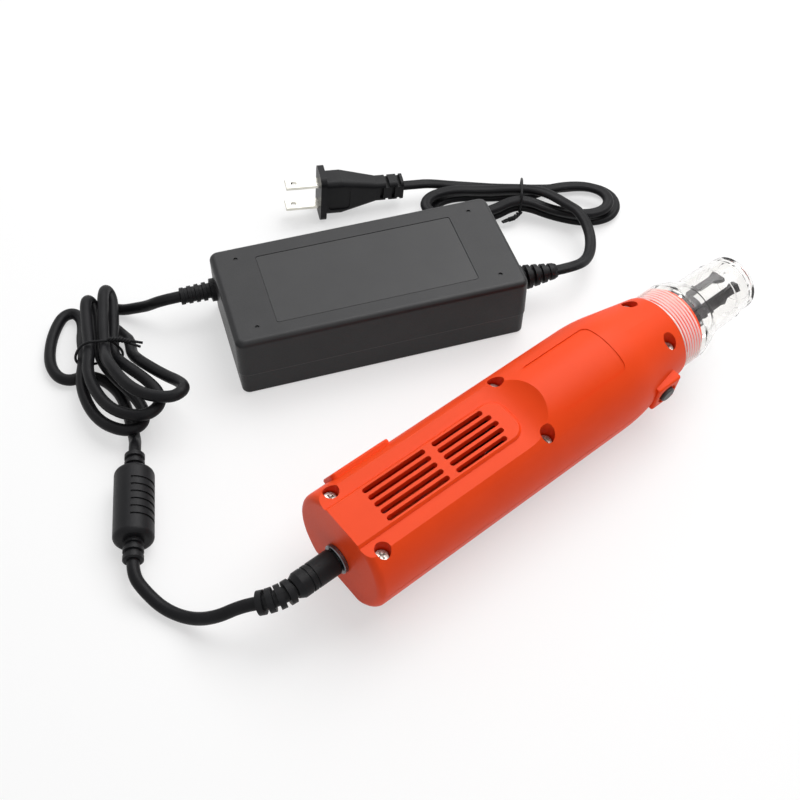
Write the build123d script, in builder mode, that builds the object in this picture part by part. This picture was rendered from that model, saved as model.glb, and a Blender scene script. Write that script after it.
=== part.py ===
"""Hand-held rotary wire stripper with its power adapter, leads and mains plug, laid out on a table.

The tool lies along X with its nose at +X, rolled a little towards its button, and the adapter lies beside it.
All sizes are in millimetres. Stations along the tool are measured from its rear face.
"""
import os
from math import acos, asin, atan2, cos, degrees, pi, radians, sin, sqrt, tan

from build123d import *

os.makedirs("parts", exist_ok=True)

# Fits between pieces
fit_gap = 0.02  # pressed pieces
running_gap = 0.05  # shafts in bushes and pins in holes
slide_gap = 0.3  # faces that move past each other

# Housing
housing_diameter = 49.5
housing_length = 172.0  # rear face to the face behind the cap
housing_wall = 2.4
rear_wall = 2.6
front_wall = 3.0
rear_round = 3.0
taper_length = 32.0
shoulder_x = housing_length - taper_length  # where the grip starts to taper
shoulder_blend = 80.0
nose_diameter = 38.0
nose_round = 0.9
seam_width = 0.3
seam_depth = 0.3
axis_y = 0.7  # the tool's axis left of the frame's middle
roll = 8.0  # degrees, button side down
top_flat = 19.0  # axis to the flat on the top
bottom_flat = 18.0
ramp_gap = 18.0  # from where the flats start to rise to the motor's rear
ramp_radius = 28.0
panel_width = 20.0
panel_rise = 1.2
panel_run = 4.0  # of the panel past the start of the rise
panel_bevel = 0.9
panel_corner = 7.0

# Air slots in the raised panel
slot_width = 2.2
slot_pitch = 3.58
slot_count = 5
rear_slot_x = 15.4
rear_slot_length = 30.1
front_slot_x = 49.3
front_slot_gap = 3.1  # from the front slots to the start of the rise
front_slot_drop = 0.5  # how much each outer slot is shorter per step squared

# Pad on the left side and the shallow label field on the grip
pad_angle = 66.0  # degrees from the top towards the left
pad_x = 12.0
pad_length = 28.0
pad_width = 12.0
pad_proud = 1.7
field_gap = 4.0  # from the field to the taper
field_length = 36.0
field_width = 25.5
field_depth = 0.4
field_corner = 3.0

# Housing screws in three rows: distance to each side and height of the head's seat
screw_rear_x = 6.8
screw_middle_gap = 8.5  # from the middle screws to the motor's rear
screw_front_gap = 8.0  # from the front screws to the housing's face
screw_spread = 15.1
screw_seat = 11.6
screw_front_spread = 11.8
screw_front_seat = 9.8
screw_diameter = 3.0
screw_head_diameter = 5.2
screw_head_height = 2.2
screw_well = 6.4  # the recess that a head lies in
screw_depth = 12.0  # below the parting plane
screw_boss = 7.8
screw_recess = 0.9

# Threaded spigot at the front of the housing
spigot_length = 13.0
thread_diameter = 32.8
thread_depth = 0.7
thread_pitch = 1.5
thread_turns = 7
thread_start = 1.2  # from the housing's face
spigot_bore = 26.0

# Spindle bearing
bearing_gap = 2.0  # from the housing's face
bearing_x = housing_length + bearing_gap
bearing_width = 7.0
bearing_outer = 22.0
bearing_inner = 8.0
bearing_ball = 3.9
bearing_ball_count = 7
bearing_lip = 1.5
bearing_mouth = 19.2

# Motor
motor_diameter = 36.0
motor_gap = 26.0  # from the motor's front to the housing's face
motor_front_x = housing_length - motor_gap
core_length = 26.0
core_room = 22.0  # for the windings, commutator and brushes
motor_length = core_length + core_room
motor_rear_x = motor_front_x - motor_length
motor_wall = 1.2
motor_web = 2.5
motor_web_bore = 14.0
bell_thickness = 3.8
bell_overlap = 0.4
magnet_thickness = 2.5
magnet_extra = 10.0
magnet_length = core_length + magnet_extra
magnet_gap = 14.0
air_gap = 0.8
core_gap = 10.0  # from the motor's rear to its core
core_x = motor_rear_x + core_gap
core_slots = 5
core_slot_width = 3.2
core_slot_depth = 7.0
end_turn = 5.0
end_turn_inner = 11.0
commutator_diameter = 10.0
commutator_length = 3.3
brush_length = 3.9
brush_thickness = 2.6
brush_height = 4.0
brush_holder = 6.0
shaft_diameter = 5.0
shaft_gap = 5.0  # from the shaft's end to the housing's face
shaft_front_x = housing_length - shaft_gap
front_bush_diameter = 12.0
front_bush_length = 5.5
front_bush_proud = 3.0
rear_bush_diameter = 8.0
rear_bush_length = 6.0
terminal_offset = 8.5
terminal_length = 3.7
terminal_width = 3.2
terminal_thickness = 0.8
rib_rear_gap = 46.0  # from the motor's front
rib_front_gap = 8.0
rib_rear_x = motor_front_x - rib_rear_gap
rib_front_x = motor_front_x - rib_front_gap
rib_thickness = 2.4

# Cooling fan on the rear of the motor shaft
fan_gap = 24.0  # from the fan's rear to the motor's rear
fan_x = motor_rear_x - fan_gap
shaft_stub = 1.0  # behind the fan
shaft_rear_x = fan_x - shaft_stub
fan_length = 8.0
fan_diameter = 27.0
fan_hub = 10.0
fan_blades = 9
fan_blade = 1.0

# Spindle and blade head
spindle_gap = 14.0  # from the spindle's rear to the housing's face
spindle_x = housing_length - spindle_gap
spindle_hub = 14.8
spindle_hub_length = 13.4
spindle_collar = 10.8
grub_gap = 5.0  # from the spindle's rear
grub_x = spindle_x + grub_gap
grub_diameter = 3.0
head_gap = 2.6  # from the bearing
head_x = bearing_x + bearing_width + head_gap
head_length = 13.4
head_diameter = 16.8
head_bore = 8.4
arm_angle = -76.0  # degrees of the first arm from the top, towards the right
arm_thickness = 3.4
arm_slot = 3.7
arm_slot_play = 0.5  # under an arm in its slot
arm_gap = 2.8  # from the head's rear to the arms
arm_tail_x = head_x + arm_gap
arm_length = 34.6
arm_tail = 11.6  # radius of the weight at the tail
arm_tail_length = 7.8
arm_tail_inner = 5.2
arm_outer = 7.8  # radius of the arm's outer edge
arm_front_outer = 7.6
arm_inner = 4.8
arm_tip = 2.2  # radius where the blade ends
beak_length = 5.1
beak_outer = 8.7
beak_slope = 2.6  # from the blade's outer corner to its point
beak_edge = 0.8  # width of the blade's point
beak_flank = 50.0  # degrees of each flank of the point
pivot_gap = 9.4  # from the head's rear to the pins
pivot_x = head_x + pivot_gap
pivot_radius = 6.9
pin_diameter = 1.8
pin_length = 9.6

# Clear cap
cap_start_gap = 1.0
cap_collar_diameter = 36.4
cap_collar_length = 13.5
cap_thread_depth = 0.5
cap_shoulder_gap = 23.4  # from the housing's face
cap_shoulder_x = housing_length + cap_shoulder_gap
cap_shoulder_diameter = 30.6
cap_shoulder_bore = 27.0
cap_tube_diameter = 27.4
cap_tube_bore = 23.8
cap_step_gap = 41.8  # from the housing's face
cap_step_x = housing_length + cap_step_gap
cap_nose_diameter = 26.2
cap_nose_bore = 20.4
cap_end_gap = 52.5  # from the housing's face
cap_end_x = housing_length + cap_end_gap
cap_end_diameter = 25.2
cap_end_wall = 2.6
cap_dish = 18.4
cap_dish_depth = 0.8
cap_hole = 10.0
cap_lead_in = 0.6
ring_outer = 36.0
ring_inner = 33.2

# Push button
button_gap = 16.8  # from the button to the housing's face
button_x = housing_length - button_gap
boss_length = 13.0
boss_height = 13.4
boss_reach = 24.3  # axis to the boss's outer face
boss_plate = 1.6
boss_round = 1.0
boss_dish = 9.6
boss_dish_depth = 0.7
button_diameter = 7.0
button_proud = 1.2
button_travel = 1.6
button_flange = 9.2
button_flange_thickness = 1.2
button_inset = 3.9  # of the button's inner face behind the boss's face
button_inner_reach = boss_reach - button_inset
switch_size = 9.0
switch_depth = 7.0
dome_pressed = 1.1  # height left to the dome under the pressed button
switch_reach = button_inner_reach - button_travel - dome_pressed
dome_diameter = 6.0
dome_top = 3.4
dome_wall = 0.6
switch_pin_length = 2.0
switch_pin_width = 1.2
switch_pin_offset = 2.5

# DC socket and plug
socket_drop = 3.0  # below the tool's axis
socket_neck = 8.0
socket_neck_out = 2.0
socket_body = 11.0
socket_depth = 12.4
socket_bore_depth = 11.0
socket_pin = 2.1
socket_pin_start = 1.0
nut_diameter = 12.6
nut_thickness = 1.8
barrel_diameter = 5.5
barrel_bore = 2.6
barrel_length = 10.8
plug_diameter = 10.8
plug_length = 18.8
plug_groove = 1.0
plug_groove_depth = 0.5
plug_groove_x = 10.0
plug_groove_step = 2.5
plug_end_diameter = 8.4
plug_end_taper = 2.3
tail_bend_radius = 19.0
tail_bend = 44.0
tail_dip = 25.0  # degrees below level of the side that the tail bends to
tail_core = 6.4
tail_rib = 10.0
tail_rib_end = 9.4
tail_ribs = 4
tail_rib_width = 2.4

# Leads
dc_cord = 5.2
ac_cord = 4.6
wire_diameter = 1.8

# Ferrite bead on the DC lead
ferrite_centre = (-153.85, 80.4)
ferrite_heading = 56.8
ferrite_diameter = 16.5
ferrite_length = 34.5
ferrite_round = 2.4
ferrite_neck = 8.4
ferrite_neck_length = 9.2
ferrite_neck_groove = 6.6
ferrite_core_diameter = 13.0
ferrite_core_length = 28.0
ferrite_grooves = 6
ferrite_groove_pitch = 3.6
ferrite_groove_width = 1.1
ferrite_groove_depth = 0.5

# Power adapter
adapter_centre = (-10.25, 107.7)
adapter_heading = -23.2
adapter_length = 132.0
adapter_width = 60.5
adapter_height = 32.0
adapter_split = 12.0
adapter_seam = 0.3  # by which the lower cover stays inside the upper one
adapter_wall = 2.2
adapter_corner = 4.0
adapter_edge = 2.6
adapter_draft = 0.6
label_length = 91.5
label_width = 42.6
label_depth = 0.4
label_shift = (-0.6, -0.4)
label_thickness = 0.3
pip_x = 55.0
pip_y = 21.8
pip_diameter = 2.0
pip_depth = 0.5
board_height = 5.0
board_thickness = 1.6
board_margin = 2.5
core_block = (26.0, 22.0, 16.0)
core_block_x = 4.0
capacitor_diameter = 14.0
capacitor_length = 18.0
sink_thickness = 2.0
sink_height = 17.0
sink_length = 40.0
relief_height = 15.6
dc_relief_y = 22.6
dc_relief_length = 16.0
dc_relief_flange = 10.6
dc_relief_ribs = 4
ac_relief_y = -11.3
ac_relief_length = 21.0
ac_relief_root = 12.4
ac_relief_end = 8.0
ac_relief_ribs = 5

# Mains plug
mains_face = (16.65, 179.2, 13.2)  # centre of the blade side of the flange
mains_heading = -28.0
mains_tilt = 4.0
mains_flange = (15.4, 26.0, 3.0)
mains_body_length = 17.0
mains_body = (12.6, 20.0)
mains_waist = (9.6, 11.6)
mains_waist_length = 8.0
mains_relief_length = 14.0
mains_relief = (9.2, 11.0)
mains_grip_depth = 0.7
blade_width = 6.35
blade_thickness = 1.5
blade_length = 16.5
blade_spacing = 12.7
blade_hole = 3.0
blade_hole_from_tip = 4.2

# Twist ties and the straight stretch of a hank under one
tie_wire = 1.5
tie_twist = 2.4
tie_gap = 0.35
hank_hold = 4.0

# Values worked out from the sizes above
housing_radius = housing_diameter / 2
ramp_x = motor_rear_x - ramp_gap
panel_end_x = ramp_x + panel_run
front_slot_length = ramp_x - front_slot_gap - front_slot_x
field_x = shoulder_x - field_gap - field_length
screw_rows = (
    (screw_rear_x, screw_spread, screw_seat),
    (motor_rear_x - screw_middle_gap, screw_spread, screw_seat),
    (housing_length - screw_front_gap, screw_front_spread, screw_front_seat),
)
nose_radius = nose_diameter / 2
tool_rear_x = -nut_thickness
frame_x = (cap_end_x + tool_rear_x) / 2
button_face = boss_reach + button_proud

# Planes of the tool
tool = Plane(
    origin=(-frame_x, axis_y, housing_radius),
    x_dir=(1, 0, 0),
    z_dir=(0, -sin(radians(roll)), cos(radians(roll))),
)
left_dir = tool.y_dir
up_dir = tool.z_dir


def at(x, left=0.0, up=0.0):
    """Point of the tool at a station, left of and above its axis."""
    return tool.from_local_coords((x, left, up))


def across(x, left=0.0, up=0.0):
    """Plane square to the tool's axis: local x is left, local y is up, facing the nose."""
    return Plane(origin=at(x, left, up), x_dir=left_dir, z_dir=(1, 0, 0))


def level(up):
    """Plane parallel to the parting plane: local x is the station, local y is left."""
    return Plane(origin=at(0, 0, up), x_dir=(1, 0, 0), z_dir=up_dir)


def beside(left=0.0, up=0.0):
    """Plane facing the tool's right side: local x is the station, local y is up."""
    return Plane(origin=at(0, left, up), x_dir=(1, 0, 0), z_dir=-left_dir)


def radial(angle):
    """Plane through the tool's axis: local x is the station, local y the radius at that angle."""
    out = up_dir * cos(radians(angle)) - left_dir * sin(radians(angle))
    return Plane(origin=at(0), x_dir=(1, 0, 0), z_dir=Vector(1, 0, 0).cross(out))


spin = Axis(at(0), (1, 0, 0))
socket_axis = Axis(at(0, 0, -socket_drop), (1, 0, 0))


def grip_radius(x):
    """Outer radius of the housing at a station, without the flats."""
    slope = (housing_radius - nose_radius) / (housing_length - shoulder_x)
    return housing_radius - max(0.0, x - shoulder_x) * slope


def flat_cutter(height, side):
    """What a flat and its ramp take off the round grip, above or below the axis."""
    rise = housing_radius + 2 - height
    turn = degrees(acos(1 - rise / ramp_radius))
    with BuildPart() as cutter:
        with BuildSketch(beside()):
            with BuildLine():
                run = Line((-5, side * height), (ramp_x, side * height))
                if side > 0:
                    arc = CenterArc((ramp_x, height + ramp_radius), ramp_radius, -90, turn)
                else:
                    arc = CenterArc((ramp_x, -height - ramp_radius), ramp_radius, 90, -turn)
                Polyline(arc @ 1, (-5, (arc @ 1).Y), run @ 0)
            make_face()
        extrude(amount=housing_diameter, both=True)
    return cutter.part


# Outer form of the housing
with BuildPart() as housing_form:
    with BuildSketch(beside()):
        with BuildLine():
            FilletPolyline(
                (0, 0),
                (0, housing_radius),
                (shoulder_x, housing_radius),
                (housing_length, nose_radius),
                (housing_length, 0),
                radius=[rear_round, shoulder_blend, nose_round],
            )
            Line((housing_length, 0), (0, 0))
        make_face()
    revolve(axis=spin)
    add(flat_cutter(top_flat, 1), mode=Mode.SUBTRACT)
    add(flat_cutter(bottom_flat, -1), mode=Mode.SUBTRACT)

# Raised panel that carries the air slots
panel_top = top_flat + panel_rise
panel_half = panel_width / 2
with BuildPart() as vent_panel:
    with BuildSketch(level(top_flat - 1)):
        with BuildLine():
            FilletPolyline(
                (0, -panel_half),
                (panel_end_x, -panel_half),
                (panel_end_x, panel_half),
                (0, panel_half),
                radius=panel_corner,
            )
            Line((0, panel_half), (0, -panel_half))
        make_face()
    extrude(amount=panel_rise + 1)
    top_edges = vent_panel.faces().sort_by(Axis(at(0), up_dir))[-1].edges()
    chamfer(top_edges.sort_by(Axis(at(0), (1, 0, 0)))[1:], panel_bevel)

# Shallow field for a bare label on the round grip
with BuildPart() as label_field:
    with BuildSketch(level(housing_radius / 2)):
        with Locations((field_x + field_length / 2, 0)):
            RectangleRounded(field_length, field_width, field_corner)
    extrude(amount=housing_radius)
    with BuildSketch(across(field_x - 5)):
        Circle(housing_radius - field_depth)
    extrude(amount=field_length + 10, mode=Mode.SUBTRACT)

# Pad on the left side of the housing
pad_out = up_dir * cos(radians(pad_angle)) + left_dir * sin(radians(pad_angle))
pad_root = at(0) + pad_out * (housing_radius - housing_wall / 2)
pad_plane = Plane(origin=pad_root, x_dir=(1, 0, 0), z_dir=pad_out)
with BuildPart() as side_pad:
    with BuildSketch(pad_plane):
        with Locations((pad_x + pad_length / 2, 0)):
            RectangleRounded(pad_length, pad_width, 2.0)
    extrude(amount=pad_proud + housing_wall / 2)
    fillet(side_pad.faces().sort_by(Axis(at(0), pad_out))[-1].edges(), 0.8)

# Seam where the two halves meet
seam_end_x = housing_length - nose_round - 0.3
with BuildPart() as seam:
    with BuildSketch(beside()):
        with BuildLine():
            FilletPolyline(
                (rear_round, housing_radius - seam_depth),
                (shoulder_x, housing_radius - seam_depth),
                (seam_end_x, grip_radius(seam_end_x) - seam_depth),
                radius=shoulder_blend,
            )
            Polyline(
                (seam_end_x, grip_radius(seam_end_x) - seam_depth),
                (seam_end_x, housing_radius + 2),
                (rear_round, housing_radius + 2),
                (rear_round, housing_radius - seam_depth),
            )
        make_face()
    revolve(axis=spin)
    with BuildSketch(level(-seam_width / 2)):
        with Locations((housing_length / 2, 0)):
            Rectangle(housing_length, housing_diameter + 8)
    extrude(amount=seam_width, mode=Mode.INTERSECT)
    with BuildSketch(beside()):
        with Locations((button_x, 0)):
            Rectangle(boss_length, boss_height)
    extrude(amount=housing_diameter, mode=Mode.SUBTRACT)

# Hollow of the housing behind the motor's front web, and ahead of it
inner_radius = housing_radius - housing_wall
web_end_x = motor_front_x + motor_web
front_web_x = housing_length - front_wall
with BuildPart() as rear_hollow:
    with BuildSketch(beside()):
        Polygon(
            (rear_wall, 0),
            (rear_wall, inner_radius),
            (shoulder_x, inner_radius),
            (motor_front_x, grip_radius(motor_front_x) - housing_wall),
            (motor_front_x, 0),
            align=None,
        )
    revolve(axis=spin)
    add(flat_cutter(top_flat - housing_wall, 1), mode=Mode.SUBTRACT)
    add(flat_cutter(bottom_flat - housing_wall, -1), mode=Mode.SUBTRACT)

with BuildPart() as front_hollow:
    with BuildSketch(beside()):
        Polygon(
            (web_end_x, 0),
            (web_end_x, grip_radius(web_end_x) - housing_wall),
            (front_web_x, grip_radius(front_web_x) - housing_wall),
            (front_web_x, 0),
            align=None,
        )
    revolve(axis=spin)

# Posts that the six screws run through
with BuildPart() as screw_posts:
    for row_x, row_s, seat in screw_rows:
        with BuildSketch(level(-housing_radius)):
            with Locations((row_x, row_s), (row_x, -row_s)):
                Circle(screw_boss / 2)
        extrude(amount=housing_diameter)
    add(housing_form.part, mode=Mode.INTERSECT)

# Way for the wires past the motor, in the lower half
wire_way_left = 8.0
wire_way_down = 18.6
wire_way = 4.6

# Whole housing before it is parted
spigot_x = housing_length
spigot_end_x = housing_length + spigot_length
thread_radius = thread_diameter / 2
thread_root = thread_radius - thread_depth
thread_points = [(spigot_x - 2, 0), (spigot_x - 2, thread_root)]
for turn in range(thread_turns):
    ridge_x = spigot_x + thread_start + turn * thread_pitch
    thread_points += [
        (ridge_x, thread_root),
        (ridge_x + thread_pitch * 0.25, thread_radius),
        (ridge_x + thread_pitch * 0.5, thread_radius),
        (ridge_x + thread_pitch * 0.75, thread_root),
    ]
thread_points += [(spigot_end_x, thread_root), (spigot_end_x, 0)]
bearing_end_x = bearing_x + bearing_width
slot_floor = top_flat - housing_wall - 0.5

with BuildPart() as button_boss:
    with BuildSketch(beside(-(switch_reach - switch_depth))):
        with Locations((button_x, 0)):
            Rectangle(boss_length, boss_height)
    extrude(amount=boss_reach - switch_reach + switch_depth)
    fillet(button_boss.faces().sort_by(Axis(at(0), left_dir))[0].edges(), boss_round)

with BuildPart() as housing:
    add(housing_form.part)
    add(vent_panel.part)
    add(side_pad.part)
    add(label_field.part, mode=Mode.SUBTRACT)
    add(seam.part, mode=Mode.SUBTRACT)
    with BuildSketch(beside()):
        Polygon(*thread_points, align=None)
    revolve(axis=spin)
    add(rear_hollow.part, mode=Mode.SUBTRACT)
    add(front_hollow.part, mode=Mode.SUBTRACT)
    with BuildSketch(across(web_end_x - motor_web - 1)):
        Circle(motor_web_bore / 2)
    extrude(amount=motor_web + 2, mode=Mode.SUBTRACT)
    # seat of the spindle bearing and the hollow front of the spigot
    with BuildSketch(across(front_web_x - 1)):
        Circle(bearing_mouth / 2)
    extrude(amount=bearing_end_x + bearing_lip - front_web_x + 1, mode=Mode.SUBTRACT)
    with BuildSketch(across(bearing_x)):
        Circle(bearing_outer / 2)
    extrude(amount=bearing_width, mode=Mode.SUBTRACT)
    with BuildSketch(across(bearing_end_x + bearing_lip)):
        Circle(spigot_bore / 2)
    extrude(amount=spigot_end_x - bearing_end_x, mode=Mode.SUBTRACT)
    # rings that carry the motor
    for rib_x in (rib_rear_x, rib_front_x):
        with BuildSketch(across(rib_x)):
            Circle(inner_radius + housing_wall / 2)
            Circle(motor_diameter / 2 + running_gap, mode=Mode.SUBTRACT)
        extrude(amount=rib_thickness)
    add(screw_posts.part)
    # block behind the button
    add(button_boss.part)
    with BuildSketch(beside(-boss_reach)):
        with Locations((button_x, 0)):
            Circle(boss_dish / 2)
    extrude(amount=-boss_dish_depth, mode=Mode.SUBTRACT)
    with BuildSketch(beside(-(switch_reach - switch_depth) + 1)):
        with Locations((button_x, 0)):
            Rectangle(switch_size + 2 * fit_gap, switch_size + 2 * fit_gap)
    extrude(amount=switch_depth + 1, mode=Mode.SUBTRACT)
    with BuildSketch(beside(-switch_reach)):
        with Locations((button_x, 0)):
            Circle(button_flange / 2 + slide_gap)
    extrude(amount=boss_reach - boss_plate - switch_reach, mode=Mode.SUBTRACT)
    with BuildSketch(beside(-switch_reach)):
        with Locations((button_x, 0)):
            Circle(button_diameter / 2 + slide_gap)
    extrude(amount=boss_reach - switch_reach + 1, mode=Mode.SUBTRACT)
    # hole for the socket in the rear wall
    with BuildSketch(across(-1, 0, -socket_drop)):
        Circle(socket_neck / 2 + fit_gap)
    extrude(amount=rear_wall + 1, mode=Mode.SUBTRACT)
    # air slots
    with BuildSketch(level(panel_top + 0.5)):
        for step in range(slot_count):
            row = step - (slot_count - 1) / 2
            front_length = front_slot_length - front_slot_drop * row * row
            with Locations((rear_slot_x + rear_slot_length / 2, row * slot_pitch)):
                SlotOverall(rear_slot_length, slot_width)
            with Locations((front_slot_x + front_length / 2, row * slot_pitch)):
                SlotOverall(front_length, slot_width)
    extrude(amount=slot_floor - panel_top - 0.5, mode=Mode.SUBTRACT)
    # way for the wires under the motor
    with BuildSketch(across(rib_rear_x - 1, wire_way_left, -wire_way_down)):
        Circle(wire_way / 2)
    extrude(amount=web_end_x - rib_rear_x + 2, mode=Mode.SUBTRACT)

with BuildPart() as housing_upper:
    add(housing.part)
    split(bisect_by=level(0), keep=Keep.TOP)
    for row_x, row_s, seat in screw_rows:
        with BuildSketch(level(-1)):
            with Locations((row_x, row_s), (row_x, -row_s)):
                Circle(screw_diameter / 2 + slide_gap / 2)
        extrude(amount=housing_radius, mode=Mode.SUBTRACT)
        with BuildSketch(level(seat)):
            with Locations((row_x, row_s), (row_x, -row_s)):
                Circle(screw_well / 2)
        extrude(amount=housing_radius, mode=Mode.SUBTRACT)
housing_upper.part.label = "housing_upper"
export_step(housing_upper.part, "parts/housing_upper.step")

with BuildPart() as housing_lower:
    add(housing.part)
    split(bisect_by=level(0), keep=Keep.BOTTOM)
    for row_x, row_s, seat in screw_rows:
        with BuildSketch(level(1)):
            with Locations((row_x, row_s), (row_x, -row_s)):
                Circle(screw_diameter / 2 + running_gap)
        extrude(amount=-(screw_depth + 2), mode=Mode.SUBTRACT)
housing_lower.part.label = "housing_lower"
export_step(housing_lower.part, "parts/housing_lower.step")

with BuildPart() as housing_screws:
    for row_x, row_s, seat in screw_rows:
        with BuildSketch(level(-screw_depth)):
            with Locations((row_x, row_s), (row_x, -row_s)):
                Circle(screw_diameter / 2)
        extrude(amount=screw_depth + seat)
        with BuildSketch(level(seat)):
            with Locations((row_x, row_s), (row_x, -row_s)):
                Circle(screw_head_diameter / 2)
        extrude(amount=screw_head_height)
        with BuildSketch(level(seat + screw_head_height)):
            with Locations((row_x, row_s), (row_x, -row_s)):
                Rectangle(screw_head_diameter * 0.6, screw_recess)
                Rectangle(screw_recess, screw_head_diameter * 0.6)
        extrude(amount=-screw_head_height / 2, mode=Mode.SUBTRACT)
housing_screws.part.label = "housing_screws"
export_step(housing_screws.part, "parts/housing_screws.step")

# DC socket in the rear wall
socket_side = beside(0, -socket_drop)
socket_bore = barrel_diameter / 2 + running_gap * 2
with BuildPart() as dc_socket:
    with BuildSketch(socket_side):
        Polygon(
            (-socket_neck_out, socket_bore),
            (-socket_neck_out, socket_neck / 2),
            (rear_wall, socket_neck / 2),
            (rear_wall, socket_body / 2),
            (rear_wall + socket_depth, socket_body / 2),
            (rear_wall + socket_depth, 0),
            (socket_bore_depth, 0),
            (socket_bore_depth, socket_bore),
            align=None,
        )
    revolve(axis=socket_axis)
dc_socket.part.label = "dc_socket"
export_step(dc_socket.part, "parts/dc_socket.step")

with BuildPart() as dc_socket_nut:
    with BuildSketch(across(-nut_thickness, 0, -socket_drop)):
        Circle(nut_diameter / 2)
        Circle(socket_neck / 2 + fit_gap, mode=Mode.SUBTRACT)
    extrude(amount=nut_thickness)
    chamfer(dc_socket_nut.edges().filter_by(GeomType.CIRCLE).group_by(SortBy.RADIUS)[-1], 0.3)
dc_socket_nut.part.label = "dc_socket_nut"
export_step(dc_socket_nut.part, "parts/dc_socket_nut.step")

with BuildPart() as dc_socket_pin:
    with BuildSketch(across(socket_pin_start, 0, -socket_drop)):
        Circle(socket_pin / 2)
    extrude(amount=socket_bore_depth - socket_pin_start)
    fillet(dc_socket_pin.faces().sort_by(Axis.X)[0].edges(), 0.4)
dc_socket_pin.part.label = "dc_socket_pin"
export_step(dc_socket_pin.part, "parts/dc_socket_pin.step")

# Motor
motor_radius = motor_diameter / 2
shaft_radius = shaft_diameter / 2
with BuildPart() as motor_can:
    with BuildSketch(beside()):
        Polygon(
            (motor_rear_x, motor_radius),
            (motor_front_x, motor_radius),
            (motor_front_x, front_bush_diameter / 2 + fit_gap),
            (motor_front_x - motor_wall, front_bush_diameter / 2 + fit_gap),
            (motor_front_x - motor_wall, motor_radius - motor_wall),
            (motor_rear_x, motor_radius - motor_wall),
            align=None,
        )
    revolve(axis=spin)
motor_can.part.label = "motor_can"
export_step(motor_can.part, "parts/motor_can.step")

magnet_outer = motor_radius - motor_wall - fit_gap
magnet_inner = magnet_outer - magnet_thickness
core_mid_x = core_x + core_length / 2
with BuildPart() as motor_magnets:
    with BuildSketch(across(core_mid_x - magnet_length / 2)):
        Circle(magnet_outer)
        Circle(magnet_inner, mode=Mode.SUBTRACT)
        Rectangle(magnet_gap, motor_diameter, mode=Mode.SUBTRACT)
    extrude(amount=magnet_length)
motor_magnets.part.label = "motor_magnets"
export_step(motor_magnets.part, "parts/motor_magnets.step")

brush_start = commutator_diameter / 2 + running_gap * 2
holder_start = brush_start + brush_length
commutator_x = core_x - end_turn - commutator_length - 0.2
with BuildPart() as motor_end_bell:
    with BuildSketch(across(motor_rear_x - bell_thickness)):
        Circle(motor_radius - bell_overlap)
        Circle(rear_bush_diameter / 2 + fit_gap, mode=Mode.SUBTRACT)
    extrude(amount=bell_thickness)
    with BuildSketch(across(motor_rear_x)):
        with Locations((holder_start + brush_holder / 2, 0), (-holder_start - brush_holder / 2, 0)):
            Rectangle(brush_holder, brush_height * 1.6)
    extrude(amount=commutator_x + commutator_length - motor_rear_x)
motor_end_bell.part.label = "motor_end_bell"
export_step(motor_end_bell.part, "parts/motor_end_bell.step")

with BuildPart() as motor_brushes:
    with BuildSketch(across(commutator_x + (commutator_length - brush_thickness) / 2)):
        with Locations((brush_start + brush_length / 2, 0), (-brush_start - brush_length / 2, 0)):
            Rectangle(brush_length, brush_height)
    extrude(amount=brush_thickness)
motor_brushes.part.label = "motor_brushes"
export_step(motor_brushes.part, "parts/motor_brushes.step")

with BuildPart() as motor_terminals:
    with BuildSketch(across(motor_rear_x - bell_thickness - terminal_length)):
        with Locations((terminal_offset, 0), (-terminal_offset, 0)):
            Rectangle(terminal_thickness, terminal_width)
    extrude(amount=terminal_length)
motor_terminals.part.label = "motor_terminals"
export_step(motor_terminals.part, "parts/motor_terminals.step")

front_bush_end = motor_front_x + front_bush_proud
rear_bush_x = motor_rear_x - bell_thickness - 1.2
with BuildPart() as motor_bushes:
    with BuildSketch(across(front_bush_end - front_bush_length)):
        Circle(front_bush_diameter / 2)
        Circle(shaft_radius + running_gap, mode=Mode.SUBTRACT)
    extrude(amount=front_bush_length)
    with BuildSketch(across(rear_bush_x)):
        Circle(rear_bush_diameter / 2)
        Circle(shaft_radius + running_gap, mode=Mode.SUBTRACT)
    extrude(amount=rear_bush_length)
motor_bushes.part.label = "motor_bushes"
export_step(motor_bushes.part, "parts/motor_bushes.step")

core_radius = magnet_inner - air_gap
slot_mid = core_radius - core_slot_depth / 2
with BuildPart() as armature_core:
    with BuildSketch(across(core_x)):
        Circle(core_radius)
        Circle(shaft_radius + fit_gap, mode=Mode.SUBTRACT)
        with PolarLocations(slot_mid + 0.5, core_slots):
            Rectangle(core_slot_depth + 1, core_slot_width, mode=Mode.SUBTRACT)
    extrude(amount=core_length)
armature_core.part.label = "armature_core"
export_step(armature_core.part, "parts/armature_core.step")

with BuildPart() as armature_windings:
    with BuildSketch(across(core_x - end_turn)):
        with PolarLocations(slot_mid - 0.4, core_slots):
            Rectangle(core_slot_depth - 1.2, core_slot_width - 0.3)
    extrude(amount=core_length + 2 * end_turn)
    for ring_x in (core_x - end_turn, core_x + core_length):
        with BuildSketch(across(ring_x)):
            Circle(core_radius - 0.9)
            Circle(end_turn_inner / 2, mode=Mode.SUBTRACT)
        extrude(amount=end_turn)
armature_windings.part.label = "armature_windings"
export_step(armature_windings.part, "parts/armature_windings.step")

with BuildPart() as commutator:
    with BuildSketch(across(commutator_x)):
        Circle(commutator_diameter / 2)
        Circle(shaft_radius + fit_gap, mode=Mode.SUBTRACT)
        with PolarLocations(commutator_diameter / 2, core_slots):
            Rectangle(1.2, 0.5, mode=Mode.SUBTRACT)
    extrude(amount=commutator_length)
commutator.part.label = "commutator"
export_step(commutator.part, "parts/commutator.step")

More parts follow.
